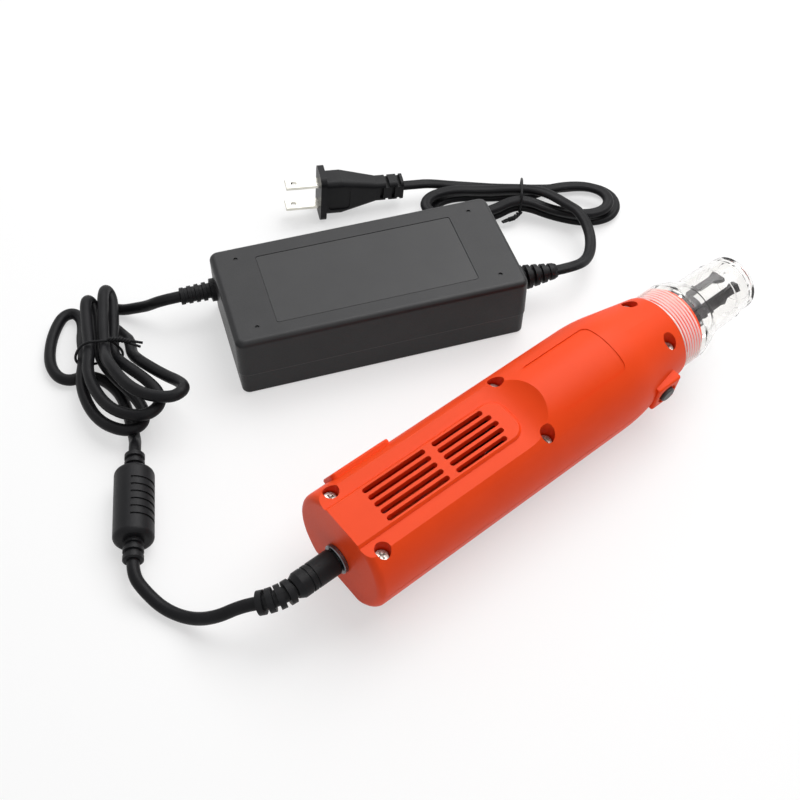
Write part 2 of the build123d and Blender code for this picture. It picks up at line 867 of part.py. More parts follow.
with BuildPart() as motor_shaft:
    with BuildSketch(across(shaft_rear_x)):
        Circle(shaft_radius)
    extrude(amount=shaft_front_x - shaft_rear_x)
    chamfer(motor_shaft.edges().filter_by(GeomType.CIRCLE), 0.4)
motor_shaft.part.label = "motor_shaft"
export_step(motor_shaft.part, "parts/motor_shaft.step")

fan_reach = (fan_diameter - fan_hub) / 2 + 0.5
with BuildPart() as cooling_fan:
    with BuildSketch(across(fan_x)):
        Circle(fan_hub / 2)
        with PolarLocations(fan_diameter / 2 - fan_reach / 2, fan_blades):
            Rectangle(fan_reach, fan_blade)
        Circle(shaft_radius + fit_gap, mode=Mode.SUBTRACT)
    extrude(amount=fan_length)
cooling_fan.part.label = "cooling_fan"
export_step(cooling_fan.part, "parts/cooling_fan.step")

# Spindle that carries the blade head, with its bearing
spindle_step = spindle_x + spindle_hub_length
spindle_end_x = head_x + head_length * 0.45
grub_plane = Plane(origin=at(grub_x), x_dir=(1, 0, 0), z_dir=up_dir)
with BuildPart() as spindle:
    with BuildSketch(beside()):
        Polygon(
            (spindle_x, shaft_radius + fit_gap),
            (spindle_x, spindle_hub / 2),
            (spindle_step, spindle_hub / 2),
            (spindle_step, spindle_collar / 2),
            (bearing_x, spindle_collar / 2),
            (bearing_x, bearing_inner / 2 - fit_gap),
            (spindle_end_x, bearing_inner / 2 - fit_gap),
            (spindle_end_x, 0),
            (shaft_front_x + 0.2, 0),
            (shaft_front_x + 0.2, shaft_radius + fit_gap),
            align=None,
        )
    revolve(axis=spin)
    with BuildSketch(grub_plane):
        Circle(grub_diameter / 2 + fit_gap)
    extrude(amount=spindle_hub, mode=Mode.SUBTRACT)
spindle.part.label = "spindle"
export_step(spindle.part, "parts/spindle.step")

with BuildPart() as spindle_grub_screw:
    with BuildSketch(grub_plane.offset(shaft_radius + fit_gap)):
        Circle(grub_diameter / 2)
    extrude(amount=spindle_hub / 2 - shaft_radius - 0.5)
    with BuildSketch(grub_plane.offset(spindle_hub / 2 - 0.5)):
        RegularPolygon(grub_diameter * 0.3, 6)
    extrude(amount=-1.5, mode=Mode.SUBTRACT)
spindle_grub_screw.part.label = "spindle_grub_screw"
export_step(spindle_grub_screw.part, "parts/spindle_grub_screw.step")

bearing_mid = across(bearing_x + bearing_width / 2)
ball_circle = (bearing_outer + bearing_inner) / 4
race_clear = bearing_ball / 2 + running_gap
land = bearing_ball / 2 * 0.82
with BuildPart() as bearing_outer_race:
    with BuildSketch(across(bearing_x)):
        Circle(bearing_outer / 2 - fit_gap)
        Circle(ball_circle + land, mode=Mode.SUBTRACT)
    extrude(amount=bearing_width)
    with Locations(bearing_mid):
        Torus(ball_circle, race_clear, mode=Mode.SUBTRACT)
bearing_outer_race.part.label = "bearing_outer_race"
export_step(bearing_outer_race.part, "parts/bearing_outer_race.step")

with BuildPart() as bearing_inner_race:
    with BuildSketch(across(bearing_x)):
        Circle(ball_circle - land)
        Circle(bearing_inner / 2, mode=Mode.SUBTRACT)
    extrude(amount=bearing_width)
    with Locations(bearing_mid):
        Torus(ball_circle, race_clear, mode=Mode.SUBTRACT)
bearing_inner_race.part.label = "bearing_inner_race"
export_step(bearing_inner_race.part, "parts/bearing_inner_race.step")

with BuildPart() as bearing_balls:
    with Locations(bearing_mid):
        with PolarLocations(ball_circle, bearing_ball_count):
            Sphere(bearing_ball / 2)
bearing_balls.part.label = "bearing_balls"
export_step(bearing_balls.part, "parts/bearing_balls.step")

# Blade head with three arms on pins
arm_angles = [arm_angle + 120 * count for count in range(3)]
head_end_x = head_x + head_length
with BuildPart() as blade_head:
    with BuildSketch(across(head_x)):
        Circle(head_diameter / 2)
        Circle(bearing_inner / 2, mode=Mode.SUBTRACT)
    extrude(amount=head_length)
    with BuildSketch(across(spindle_end_x)):
        Circle(head_bore / 2)
    extrude(amount=head_length, mode=Mode.SUBTRACT)
    chamfer(blade_head.faces().sort_by(Axis.X)[-1].edges().group_by(SortBy.RADIUS)[-1], 0.8)
    slot_middle = arm_tail_inner - arm_slot_play + head_diameter / 4
    for angle in arm_angles:
        with BuildSketch(radial(angle)):
            with Locations(((arm_tail_x + head_end_x) / 2, slot_middle)):
                Rectangle(head_end_x - arm_tail_x + 2.4, head_diameter / 2)
        extrude(amount=arm_slot / 2, both=True, mode=Mode.SUBTRACT)
        with BuildSketch(radial(angle)):
            with Locations((pivot_x, pivot_radius)):
                Circle(pin_diameter / 2 + fit_gap)
        extrude(amount=head_diameter, both=True, mode=Mode.SUBTRACT)
blade_head.part.label = "blade_head"
export_step(blade_head.part, "parts/blade_head.step")

with BuildPart() as blade_pins:
    for angle in arm_angles:
        with BuildSketch(radial(angle)):
            with Locations((pivot_x, pivot_radius)):
                Circle(pin_diameter / 2)
        extrude(amount=pin_length / 2, both=True)
blade_pins.part.label = "blade_pins"
export_step(blade_pins.part, "parts/blade_pins.step")

arm_tip_x = arm_tail_x + arm_length
beak_x = arm_tip_x - beak_length
arm_outline = (
    (arm_tail_x, arm_tail_inner),
    (arm_tail_x, arm_tail - 1.0),
    (arm_tail_x + 1.0, arm_tail),
    (arm_tail_x + arm_tail_length, arm_tail),
    (arm_tail_x + arm_tail_length + 2.4, arm_outer),
    (beak_x - 0.4, arm_front_outer),
    (arm_tip_x - beak_slope, beak_outer),
    (arm_tip_x, arm_tip),
    (arm_tip_x - 0.8, arm_tip),
    (beak_x, arm_inner),
    (head_end_x + 1.5, arm_inner),
    (head_end_x + 0.5, arm_tail_inner),
)
flank_reach = (arm_tail + 2 - arm_tip) * tan(radians(beak_flank))


def arm_wedge(angle):
    """Space that an arm may fill beside its neighbours: it narrows to a point at the blade's end."""
    out = up_dir * cos(radians(angle)) - left_dir * sin(radians(angle))
    with BuildPart() as wedge:
        with BuildSketch(Plane(origin=at(arm_tail_x - 2), x_dir=out.cross(Vector(1, 0, 0)), z_dir=(1, 0, 0))):
            Polygon(
                (-beak_edge / 2, arm_tip),
                (beak_edge / 2, arm_tip),
                (beak_edge / 2 + flank_reach, arm_tail + 2),
                (-beak_edge / 2 - flank_reach, arm_tail + 2),
                align=None,
            )
        extrude(amount=arm_length + 4)
    return wedge.part


with BuildPart() as blade_arm_1:
    with BuildSketch(radial(arm_angles[0])):
        Polygon(*arm_outline, align=None)
        with Locations((pivot_x, pivot_radius)):
            Circle(pin_diameter / 2 + running_gap, mode=Mode.SUBTRACT)
    extrude(amount=arm_thickness / 2, both=True)
    add(arm_wedge(arm_angles[0]), mode=Mode.INTERSECT)
blade_arm_1.part.label = "blade_arm_1"
export_step(blade_arm_1.part, "parts/blade_arm_1.step")

with BuildPart() as blade_arm_2:
    with BuildSketch(radial(arm_angles[1])):
        Polygon(*arm_outline, align=None)
        with Locations((pivot_x, pivot_radius)):
            Circle(pin_diameter / 2 + running_gap, mode=Mode.SUBTRACT)
    extrude(amount=arm_thickness / 2, both=True)
    add(arm_wedge(arm_angles[1]), mode=Mode.INTERSECT)
blade_arm_2.part.label = "blade_arm_2"
export_step(blade_arm_2.part, "parts/blade_arm_2.step")

with BuildPart() as blade_arm_3:
    with BuildSketch(radial(arm_angles[2])):
        Polygon(*arm_outline, align=None)
        with Locations((pivot_x, pivot_radius)):
            Circle(pin_diameter / 2 + running_gap, mode=Mode.SUBTRACT)
    extrude(amount=arm_thickness / 2, both=True)
    add(arm_wedge(arm_angles[2]), mode=Mode.INTERSECT)
blade_arm_3.part.label = "blade_arm_3"
export_step(blade_arm_3.part, "parts/blade_arm_3.step")

# Clear cap, and the seal ring between it and the housing
cap_start_x = housing_length + cap_start_gap
collar_bore = thread_radius + slide_gap
collar_end_x = cap_start_x + cap_collar_length
ring_x = housing_length + running_gap
ring_thickness = cap_start_gap - 2 * running_gap
hole_radius = cap_hole / 2
dish_x = cap_end_x - cap_dish_depth
collar_threads = []
for turn in reversed(range(thread_turns)):
    groove_x = spigot_x + thread_start + turn * thread_pitch
    collar_threads += [
        (groove_x + thread_pitch * 0.75, collar_bore),
        (groove_x + thread_pitch * 0.5, collar_bore + cap_thread_depth),
        (groove_x + thread_pitch * 0.25, collar_bore + cap_thread_depth),
        (groove_x, collar_bore),
    ]
with BuildPart() as nose_cap:
    with BuildSketch(beside()):
        with BuildLine():
            FilletPolyline(
                (cap_start_x, collar_bore),
                (cap_start_x, cap_collar_diameter / 2),
                (collar_end_x, cap_collar_diameter / 2),
                (cap_shoulder_x, cap_shoulder_diameter / 2),
                (cap_shoulder_x + 0.7, cap_tube_diameter / 2),
                (cap_step_x, cap_tube_diameter / 2),
                (cap_step_x + 0.5, cap_nose_diameter / 2),
                (cap_end_x, cap_end_diameter / 2),
                (cap_end_x, cap_dish / 2),
                radius=[0.5, 6.0, 0.6, 0.6, 0.25, 0.25, 1.0],
            )
            Polyline(
                (cap_end_x, cap_dish / 2),
                (dish_x, cap_dish / 2 - 0.4),
                (dish_x, hole_radius + cap_lead_in),
                (dish_x - cap_lead_in, hole_radius),
                (cap_end_x - cap_end_wall, hole_radius),
                (cap_end_x - cap_end_wall, cap_nose_bore / 2),
                (cap_step_x, cap_nose_bore / 2),
                (cap_step_x - 0.8, cap_tube_bore / 2),
                (cap_shoulder_x + 0.3, cap_tube_bore / 2),
                (cap_shoulder_x - 0.5, cap_shoulder_bore / 2),
                (collar_end_x - 0.2, collar_bore),
                *collar_threads,
                (cap_start_x, collar_bore),
            )
        make_face()
    revolve(axis=spin)
nose_cap.part.label = "nose_cap"
export_step(nose_cap.part, "parts/nose_cap.step")

with BuildPart() as cap_seal_ring:
    with BuildSketch(across(ring_x)):
        Circle(ring_outer / 2)
        Circle(ring_inner / 2, mode=Mode.SUBTRACT)
    extrude(amount=ring_thickness)
cap_seal_ring.part.label = "cap_seal_ring"
export_step(cap_seal_ring.part, "parts/cap_seal_ring.step")

# Push button and the switch behind it
flange_outer = boss_reach - boss_plate - 0.1
with BuildPart() as button:
    with BuildSketch(beside(-button_inner_reach)):
        with Locations((button_x, 0)):
            Circle(button_diameter / 2)
    extrude(amount=button_face - button_inner_reach)
    fillet(button.faces().sort_by(Axis(at(0), left_dir))[0].edges(), 0.7)
    with BuildSketch(beside(-flange_outer)):
        with Locations((button_x, 0)):
            Circle(button_flange / 2)
    extrude(amount=-button_flange_thickness)
button.part.label = "button"
export_step(button.part, "parts/button.step")

with BuildPart() as switch_body:
    with BuildSketch(beside(-switch_reach)):
        with Locations((button_x, 0)):
            Rectangle(switch_size, switch_size)
    extrude(amount=-switch_depth)
switch_body.part.label = "switch_body"
export_step(switch_body.part, "parts/switch_body.step")

dome_height = button_inner_reach - switch_reach
dome_axis = Axis(at(button_x, -switch_reach), -left_dir)
with BuildPart() as button_dome:
    with BuildSketch(Plane(origin=at(button_x, -switch_reach), x_dir=(1, 0, 0), z_dir=up_dir)):
        Polygon(
            (dome_diameter / 2 - dome_wall, 0),
            (dome_diameter / 2, 0),
            (dome_top / 2, -dome_height),
            (0, -dome_height),
            (0, -dome_height + dome_wall),
            (dome_top / 2 - dome_wall, -dome_height + dome_wall),
            align=None,
        )
    revolve(axis=dome_axis)
button_dome.part.label = "button_dome"
export_step(button_dome.part, "parts/button_dome.step")

switch_inner = switch_reach - switch_depth
with BuildPart() as switch_terminals:
    with BuildSketch(beside(-switch_inner)):
        with Locations((button_x, switch_pin_offset), (button_x, -switch_pin_offset)):
            Rectangle(switch_pin_width, 0.6)
    extrude(amount=-switch_pin_length)
switch_terminals.part.label = "switch_terminals"
export_step(switch_terminals.part, "parts/switch_terminals.step")


def corner_radii(points):
    """Largest bend radii that the runs of a route leave room for."""
    radii = []
    for before, here, after in zip(points, points[1:], points[2:]):
        run_in = Vector(*here) - Vector(*before)
        run_out = Vector(*after) - Vector(*here)
        half_turn = radians(run_in.get_angle(run_out)) / 2
        radii.append(0.45 * min(run_in.length, run_out.length) / tan(half_turn))
    return radii


def plain(point):
    """Tuple of a point."""
    point = Vector(point)
    return (point.X, point.Y, point.Z)


def least_gap(route, diameter):
    """Smallest gap of a tube to itself, measured on points of its centre line."""
    count = int(route.length / (diameter * 0.35))
    step = route.length / count
    points = [route.position_at(index / count) for index in range(count + 1)]
    apart = int(diameter * 2.2 / step) + 1
    best = 1e9
    for first in range(len(points)):
        for second in range(first + apart, len(points)):
            best = min(best, (points[first] - points[second]).length)
    return best - diameter


# Wires inside the housing: socket to switch, switch to motor, socket to motor
switch_end = switch_inner - switch_pin_length
socket_back = rear_wall + socket_depth
terminal_back = motor_rear_x - bell_thickness - terminal_length
way_up = -wire_way_down + 0.9
wire_reach = fan_x - socket_back
wire_clear = fan_diameter / 2 + wire_diameter + 0.4
wire_inside = screw_spread - (screw_boss + wire_diameter) / 2 - 0.3  # past the screw posts
wire_over = sqrt(wire_clear**2 - wire_inside**2)
fan_end_x = fan_x + fan_length
low_turn = radians(37)
wire_routes = (
    (
        at(socket_back, -2.5, -socket_drop),
        at(socket_back + 6, -2.5, -socket_drop),
        at(socket_back + wire_reach * 0.32, -3, -6),
        at(socket_back + wire_reach * 0.6, 6, -10),
        at(fan_x - 6, wire_clear * 0.89, -wire_clear * 0.68),
        at(fan_x + 6, wire_clear * sin(low_turn), -wire_clear * cos(low_turn)),
        at(motor_rear_x - bell_thickness - 1.2, wire_way_left + 0.4, way_up + 1.0),
        at(rib_rear_x + 4, wire_way_left, way_up),
        at(motor_front_x - 2, wire_way_left + 0.3, way_up),
        at(web_end_x + 1, wire_way_left, way_up),
        at(button_x - 0.5, wire_way_left - 5, -14.0),
        at(button_x, -2.5, -9.0),
        at(button_x, -switch_end + 2.6, -switch_pin_offset),
        at(button_x, -switch_end, -switch_pin_offset),
    ),
    (
        at(socket_back, 2.5, -socket_drop),
        at(socket_back + 6, 2.5, -socket_drop),
        at(socket_back + wire_reach * 0.32, 6, 2),
        at(socket_back + wire_reach * 0.66, wire_inside - 0.4, wire_over * 0.7),
        at(fan_x - 3, wire_inside, wire_over),
        at(fan_end_x - 1, wire_inside, wire_over),
        at(fan_end_x + 2.2, wire_inside - 0.2, wire_over * 0.75),
        at(terminal_back - 3.4, terminal_offset + 0.6, wire_over * 0.2),
        at(terminal_back - 1.7, terminal_offset, 0),
        at(terminal_back, terminal_offset, 0),
    ),
)
with BuildPart() as lead_wires:
    for points in wire_routes:
        spots = [plain(point) for point in points]
        with BuildLine() as wire_line:
            FilletPolyline(*spots, radius=corner_radii(spots))
        with BuildSketch(Plane(origin=spots[0], z_dir=wire_line.wire() % 0)):
            Circle(wire_diameter / 2)
        sweep(path=wire_line.wire())
lead_wires.part.label = "lead_wires"
export_step(lead_wires.part, "parts/lead_wires.step")

# DC plug in the socket
plug_face_x = -socket_neck_out - slide_gap
plug_end_x = plug_face_x - plug_length
plug_radius = plug_diameter / 2
groove_points = []
for count in range(2):
    groove_x = plug_face_x - plug_groove_x - count * plug_groove_step
    groove_points += [
        (groove_x, plug_radius),
        (groove_x, plug_radius - plug_groove_depth),
        (groove_x - plug_groove, plug_radius - plug_groove_depth),
        (groove_x - plug_groove, plug_radius),
    ]
tail_start = at(plug_end_x, 0, -socket_drop)
tail_side = Vector(0, cos(radians(tail_dip)), -sin(radians(tail_dip)))
tail_plane = Plane(origin=tail_start, x_dir=(-1, 0, 0), z_dir=Vector(-1, 0, 0).cross(tail_side))
with BuildPart() as dc_plug:
    with BuildSketch(socket_side):
        Polygon(
            (plug_face_x, 0),
            (plug_face_x, plug_radius - 0.5),
            (plug_face_x - 0.5, plug_radius),
            *groove_points,
            (plug_end_x + plug_end_taper, plug_radius),
            (plug_end_x, plug_end_diameter / 2),
            (plug_end_x, 0),
            align=None,
        )
    revolve(axis=socket_axis)
    with BuildLine(tail_plane) as tail_line:
        CenterArc((0, tail_bend_radius), tail_bend_radius, -90, tail_bend)
    with BuildSketch(Plane(origin=tail_start, z_dir=(-1, 0, 0))):
        Circle(tail_core / 2)
    sweep(path=tail_line.wire())
    for count in range(tail_ribs):
        share = (count + 0.6) / tail_ribs
        rib_size = tail_rib + (tail_rib_end - tail_rib) * share
        with BuildSketch(Plane(origin=tail_line.wire() @ share, z_dir=tail_line.wire() % share)):
            Circle(rib_size / 2)
        extrude(amount=tail_rib_width / 2, both=True)
dc_plug.part.label = "dc_plug"
export_step(dc_plug.part, "parts/dc_plug.step")
tail_end = tail_line.wire() @ 1
tail_heading = tail_line.wire() % 1

with BuildPart() as dc_plug_barrel:
    with BuildSketch(across(plug_face_x, 0, -socket_drop)):
        Circle(barrel_diameter / 2)
        Circle(barrel_bore / 2, mode=Mode.SUBTRACT)
    extrude(amount=barrel_length)
dc_plug_barrel.part.label = "dc_plug_barrel"
export_step(dc_plug_barrel.part, "parts/dc_plug_barrel.step")

# Ferrite bead, moulded over the DC lead
heading = radians(ferrite_heading)
ferrite_dir = Vector(cos(heading), sin(heading), 0)
ferrite_across = Vector(-sin(heading), cos(heading), 0)
ferrite_mid = Vector(ferrite_centre[0], ferrite_centre[1], ferrite_diameter / 2)
ferrite_half = ferrite_length / 2
neck_end = ferrite_half + ferrite_neck_length
ferrite_side = Plane(origin=ferrite_mid, x_dir=ferrite_dir, z_dir=ferrite_dir.cross(Vector(0, 0, 1)))
ferrite_axis = Axis(ferrite_mid, ferrite_dir)
bead_radius = ferrite_diameter / 2
with BuildPart() as ferrite_moulding:
    with BuildSketch(ferrite_side):
        with BuildLine():
            FilletPolyline(
                (-ferrite_half, 0),
                (-ferrite_half, bead_radius),
                (ferrite_half, bead_radius),
                (ferrite_half, 0),
                radius=[ferrite_round, ferrite_round],
            )
            Line((ferrite_half, 0), (-ferrite_half, 0))
        make_face()
    revolve(axis=ferrite_axis)
    with BuildSketch(ferrite_side):
        step = ferrite_neck_length / 6
        neck = ferrite_neck / 2
        thin = ferrite_neck_groove / 2
        for way in (-1, 1):
            base = way * ferrite_half
            Polygon(
                (base - way, 0),
                (base - way, neck),
                (base + way * step, neck),
                (base + way * step * 1.2, thin),
                (base + way * step * 2, thin),
                (base + way * step * 2.2, neck),
                (base + way * step * 3.2, neck),
                (base + way * step * 3.4, thin),
                (base + way * step * 4.2, thin),
                (base + way * step * 4.4, neck),
                (base + way * step * 5.6, neck),
                (base + way * step * 6, neck - 0.7),
                (base + way * step * 6, 0),
                align=None,
            )
    revolve(axis=ferrite_axis)
    for count in range(ferrite_grooves):
        shift = (count - (ferrite_grooves - 1) / 2) * ferrite_groove_pitch
        groove_mid = ferrite_mid + ferrite_dir * shift
        with BuildSketch(Plane(origin=groove_mid, x_dir=ferrite_across, z_dir=ferrite_dir)):
            Circle(bead_radius + 1)
            Circle(bead_radius - ferrite_groove_depth, mode=Mode.SUBTRACT)
            with Locations((-bead_radius, -bead_radius)):
                Rectangle(ferrite_diameter * 2, ferrite_diameter * 2, mode=Mode.INTERSECT)
            with Locations((bead_radius, 0)):
                Rectangle(ferrite_diameter, ferrite_diameter * 3, mode=Mode.SUBTRACT)
            with Locations((0, -bead_radius * 1.6)):
                Rectangle(ferrite_diameter * 2, ferrite_diameter, mode=Mode.SUBTRACT)
        extrude(amount=ferrite_groove_width / 2, both=True, mode=Mode.SUBTRACT)
    with BuildSketch(Plane(origin=ferrite_mid - ferrite_dir * (ferrite_core_length / 2), z_dir=ferrite_dir)):
        Circle(ferrite_core_diameter / 2 + running_gap)
        Circle(dc_cord / 2, mode=Mode.SUBTRACT)
    extrude(amount=ferrite_core_length, mode=Mode.SUBTRACT)
ferrite_moulding.part.label = "ferrite_moulding"
export_step(ferrite_moulding.part, "parts/ferrite_moulding.step")

with BuildPart() as ferrite_core:
    with BuildSketch(Plane(origin=ferrite_mid - ferrite_dir * (ferrite_core_length / 2), z_dir=ferrite_dir)):
        Circle(ferrite_core_diameter / 2)
        Circle(dc_cord / 2 + running_gap, mode=Mode.SUBTRACT)
    extrude(amount=ferrite_core_length)
ferrite_core.part.label = "ferrite_core"
export_step(ferrite_core.part, "parts/ferrite_core.step")

# DC lead from the plug to the bead
bead_near = ferrite_mid - ferrite_dir * neck_end
bead_far = ferrite_mid + ferrite_dir * neck_end
dc_tool_points = [
    plain(tail_end),
    plain(tail_end + tail_heading * 6),
    (-158.8, 15.8, 10.8),
    (-164.8, 25.0, 4.2),
    (-169.6, 35.8, 2.8),
    (-171.4, 46.2, 5.0),
    plain(bead_near - ferrite_dir * 6),
    plain(bead_near),
]
with BuildPart() as dc_cord_tool_end:
    with BuildLine() as dc_tool_line:
        FilletPolyline(*dc_tool_points, radius=corner_radii(dc_tool_points))
    with BuildSketch(Plane(origin=dc_tool_points[0], z_dir=dc_tool_line.wire() % 0)):
        Circle(dc_cord / 2)
    sweep(path=dc_tool_line.wire())
dc_cord_tool_end.part.label = "dc_cord_tool_end"
export_step(dc_cord_tool_end.part, "parts/dc_cord_tool_end.step")


lobe_shares = ((0.34, 0.74), (0.68, 1.0), (0.92, 0.68))  # along a lobe, and its share of the width there
fold_shares = ((0.45, 1.15), (1.0, 1.0))


def lobe_points(way, leg_in, leg_out, length, lean, bend, width, out_height, tip_height, back_height):
    """Round lobe of a hank: its middle line leans sideways at the waist and bends on towards the tip."""
    middle = (leg_in[0] + leg_out[0]) / 2
    hand = 1 if leg_in[0] > leg_out[0] else -1

    def spot(share, wide, height):
        chord, turned = radians(lean + bend * share / 2), radians(lean + bend * share)
        ahead = cos(chord) * length * share - sin(turned) * hand * wide
        return (way * ahead, middle + sin(chord) * length * share + cos(turned) * hand * wide, height)

    def height_at(share, height):
        return height if share < 0.8 else (height + tip_height) / 2

    route = [spot(share, width * wide, height_at(share, out_height)) for share, wide in lobe_shares]
    route.append(spot(1, 0, tip_height))
    for share, wide in reversed(lobe_shares):
        route.append(spot(share, -width * wide, height_at(share, back_height)))
    return route


def fold_points(way, leg_in, leg_out, length, lean):
    """Tight fold of a hank: the strand comes back close above the one that goes out."""
    middle, half = (leg_in[0] + leg_out[0]) / 2, (leg_in[0] - leg_out[0]) / 2

    def spot(share, wide, height):
        ahead = cos(radians(lean)) * length * share - sin(radians(lean)) * half * wide
        aside = sin(radians(lean)) * length * share + cos(radians(lean)) * half * wide
        return (way * ahead, middle + aside, height)

    route = [spot(share, wide, leg_in[1]) for share, wide in fold_shares]
    return route + [spot(share, -wide, leg_out[1]) for share, wide in reversed(fold_shares)]


def hank_points(plane, way, legs, turns):
    """Route of a tied hank: legs pass the waist side by side, lobes and folds join them at either end.

    plane has its origin at the waist, on the table, with local x along the legs. way is 1 if the first
    turn is ahead of the waist, -1 if it is behind. legs are (sideways, height) at the waist. A lobe is
    (length, lean and bend in degrees, half width, height going out, at the tip, coming back), a fold
    (length, lean).
    """
    route = []
    for index, leg in enumerate(legs):
        route += [(-way * hank_hold, *leg), (way * hank_hold, *leg)]
        if index < len(turns):
            turn_points = lobe_points if len(turns[index]) > 2 else fold_points
            route += turn_points(way, leg, legs[index + 1], *turns[index])
        way = -way
    return [plain(plane.from_local_coords(point)) for point in route]


# DC hank: a loose loop, then folds and lobes drawn in by a twist tie
dc_waist = (-119.35, 160.7)
dc_hank_heading = 62.1
dc_hank_plane = Plane(
    origin=(dc_waist[0], dc_waist[1], 0),
    x_dir=(cos(radians(dc_hank_heading)), sin(radians(dc_hank_heading)), 0),
    z_dir=(0, 0, 1),
)
dc_low = dc_cord / 2 + 0.2
dc_rise = dc_cord + 0.75
tie_lift = tie_wire + 2 * tie_gap
z1, z2, z3, z4 = [dc_low + dc_rise * layer for layer in range(4)]
dc_tied_legs = ((8.0, z2), (1.0, z2), (4.6, z3), (-5.2, z2), (-2.0, z3))
dc_last_leg = (-12.8, z2)
dc_turns = (
    (50.5, 5.5, -54.5, 10.0, z2, z2 + 0.8, z2),
    (29.5, 0.0),
    (49.5, 9.0, -72.5, 11.0, z3, z3 + 2.0, z3),
    (34.5, -3.0),
    (50.0, 5.0, -75.0, 9.5, z4 + 1.8, z4 + 1.8, z3),
)
relief_dir = Vector(cos(radians(adapter_heading)), sin(radians(adapter_heading)), 0)
relief_side = Vector(-relief_dir.Y, relief_dir.X, 0)
adapter_mid = Vector(adapter_centre[0], adapter_centre[1], 0)
dc_relief_end = (
    adapter_mid
    - relief_dir * (adapter_length / 2 + dc_relief_length)
    + relief_side * dc_relief_y
    + Vector(0, 0, relief_height)
)
dc_hank_entry = (
    (-50.0, -9.9, z1 + 0.6),
    (-42.0, -9.3, z1),
    (-32.0, -8.0, z1),
    (-22.5, -6.0, z1),
    (-15.0, -2.0, z1),
    (-9.0, 4.0, z1),
    (-7.5, 10.0, z1),
    (-9.0, 15.5, z1),
    (-5.5, 21.0, z1),
    (3.5, 24.0, z1),
    (15.5, 23.0, z1),
    (25.5, 20.0, z1),
    (32.0, 16.5, z1),
    (33.0, 11.5, z1),
    (28.0, 8.5, z1),
    (20.0, 8.0, z1 + 1.4),
    (11.0, 8.5, z2 - 2.0),
)
dc_hank_exit = (
    (13.0, -9.8, z1 + 0.5),
    (20.0, -5.5, z1),
    (24.5, -0.5, z1),
    (30.0, 0.0, z1),
    (32.5, -5.0, z1),
    (29.5, -10.5, z1 + 0.4),
    (26.5, -16.5, z1 + 3.5),
)
dc_hank_points = [plain(bead_far), plain(bead_far + ferrite_dir * 4.2)]
dc_hank_points += [plain(dc_hank_plane.from_local_coords(point)) for point in dc_hank_entry]
dc_hank_points += hank_points(dc_hank_plane, -1, (*dc_tied_legs, dc_last_leg), dc_turns)
dc_hank_points += [plain(dc_hank_plane.from_local_coords(point)) for point in dc_hank_exit]
with BuildPart() as dc_cord_hank:
    with BuildLine() as dc_hank_line:
        FilletPolyline(*dc_hank_points, radius=corner_radii(dc_hank_points))
    with BuildSketch(Plane(origin=dc_hank_points[0], z_dir=dc_hank_line.wire() % 0)):
        Circle(dc_cord / 2)
    sweep(path=dc_hank_line.wire())
dc_cord_hank.part.label = "dc_cord_hank"
export_step(dc_cord_hank.part, "parts/dc_cord_hank.step")

# DC lead from the hank to the adapter
dc_exit_run = (Vector(*dc_hank_points[-1]) - Vector(*dc_hank_points[-2])).normalized()
dc_adapter_points = [
    dc_hank_points[-1],
    plain(Vector(*dc_hank_points[-1]) + dc_exit_run * 7),
    plain(dc_relief_end - relief_dir * 9),
    plain(dc_relief_end),
]
with BuildPart() as dc_cord_adapter_end:
    with BuildLine() as dc_adapter_line:
        FilletPolyline(*dc_adapter_points, radius=corner_radii(dc_adapter_points))
    with BuildSketch(Plane(origin=dc_adapter_points[0], z_dir=dc_adapter_line.wire() % 0)):
        Circle(dc_cord / 2)
    sweep(path=dc_adapter_line.wire())
dc_cord_adapter_end.part.label = "dc_cord_adapter_end"
export_step(dc_cord_adapter_end.part, "parts/dc_cord_adapter_end.step")

# Adapter covers
adapter = Plane(origin=adapter_mid, x_dir=relief_dir, z_dir=(0, 0, 1))
cavity_length = adapter_length - 2 * adapter_wall
cavity_width = adapter_width - 2 * adapter_wall


def adapter_end(side):
    """Plane on an end of the adapter, facing out: local x is across the adapter, local y is up."""
    origin = adapter.from_local_coords((side * adapter_length / 2, 0, 0))
    return Plane(origin=origin, x_dir=relief_side * side, z_dir=relief_dir * side)


relief_hole = 6.4
with BuildPart() as adapter_top_cover:
    with BuildSketch(adapter.offset(adapter_split)):
        RectangleRounded(adapter_length, adapter_width, adapter_corner)
    extrude(amount=adapter_height - adapter_split)
    fillet(adapter_top_cover.faces().sort_by(Axis.Z)[-1].edges(), adapter_edge)
    with BuildSketch(adapter.offset(adapter_split)):
        RectangleRounded(cavity_length, cavity_width, adapter_corner - adapter_wall)
    extrude(amount=adapter_height - adapter_split - adapter_wall, mode=Mode.SUBTRACT)
    with BuildSketch(adapter.offset(adapter_height)):
        with Locations(label_shift):
            RectangleRounded(label_length, label_width, 1.2)
    extrude(amount=-label_depth, mode=Mode.SUBTRACT)
    with BuildSketch(adapter.offset(adapter_height)):
        with Locations((pip_x, pip_y), (pip_x, -pip_y), (-pip_x, pip_y), (-pip_x, -pip_y)):
            Circle(pip_diameter / 2)
    extrude(amount=-pip_depth, mode=Mode.SUBTRACT)
    for side, shift in ((-1, dc_relief_y), (1, ac_relief_y)):
        with BuildSketch(adapter_end(side)):
            with Locations((side * shift, relief_height)):
                Circle(relief_hole / 2 + fit_gap)
        extrude(amount=-adapter_wall * 2, mode=Mode.SUBTRACT)
adapter_top_cover.part.label = "adapter_top_cover"
export_step(adapter_top_cover.part, "parts/adapter_top_cover.step")

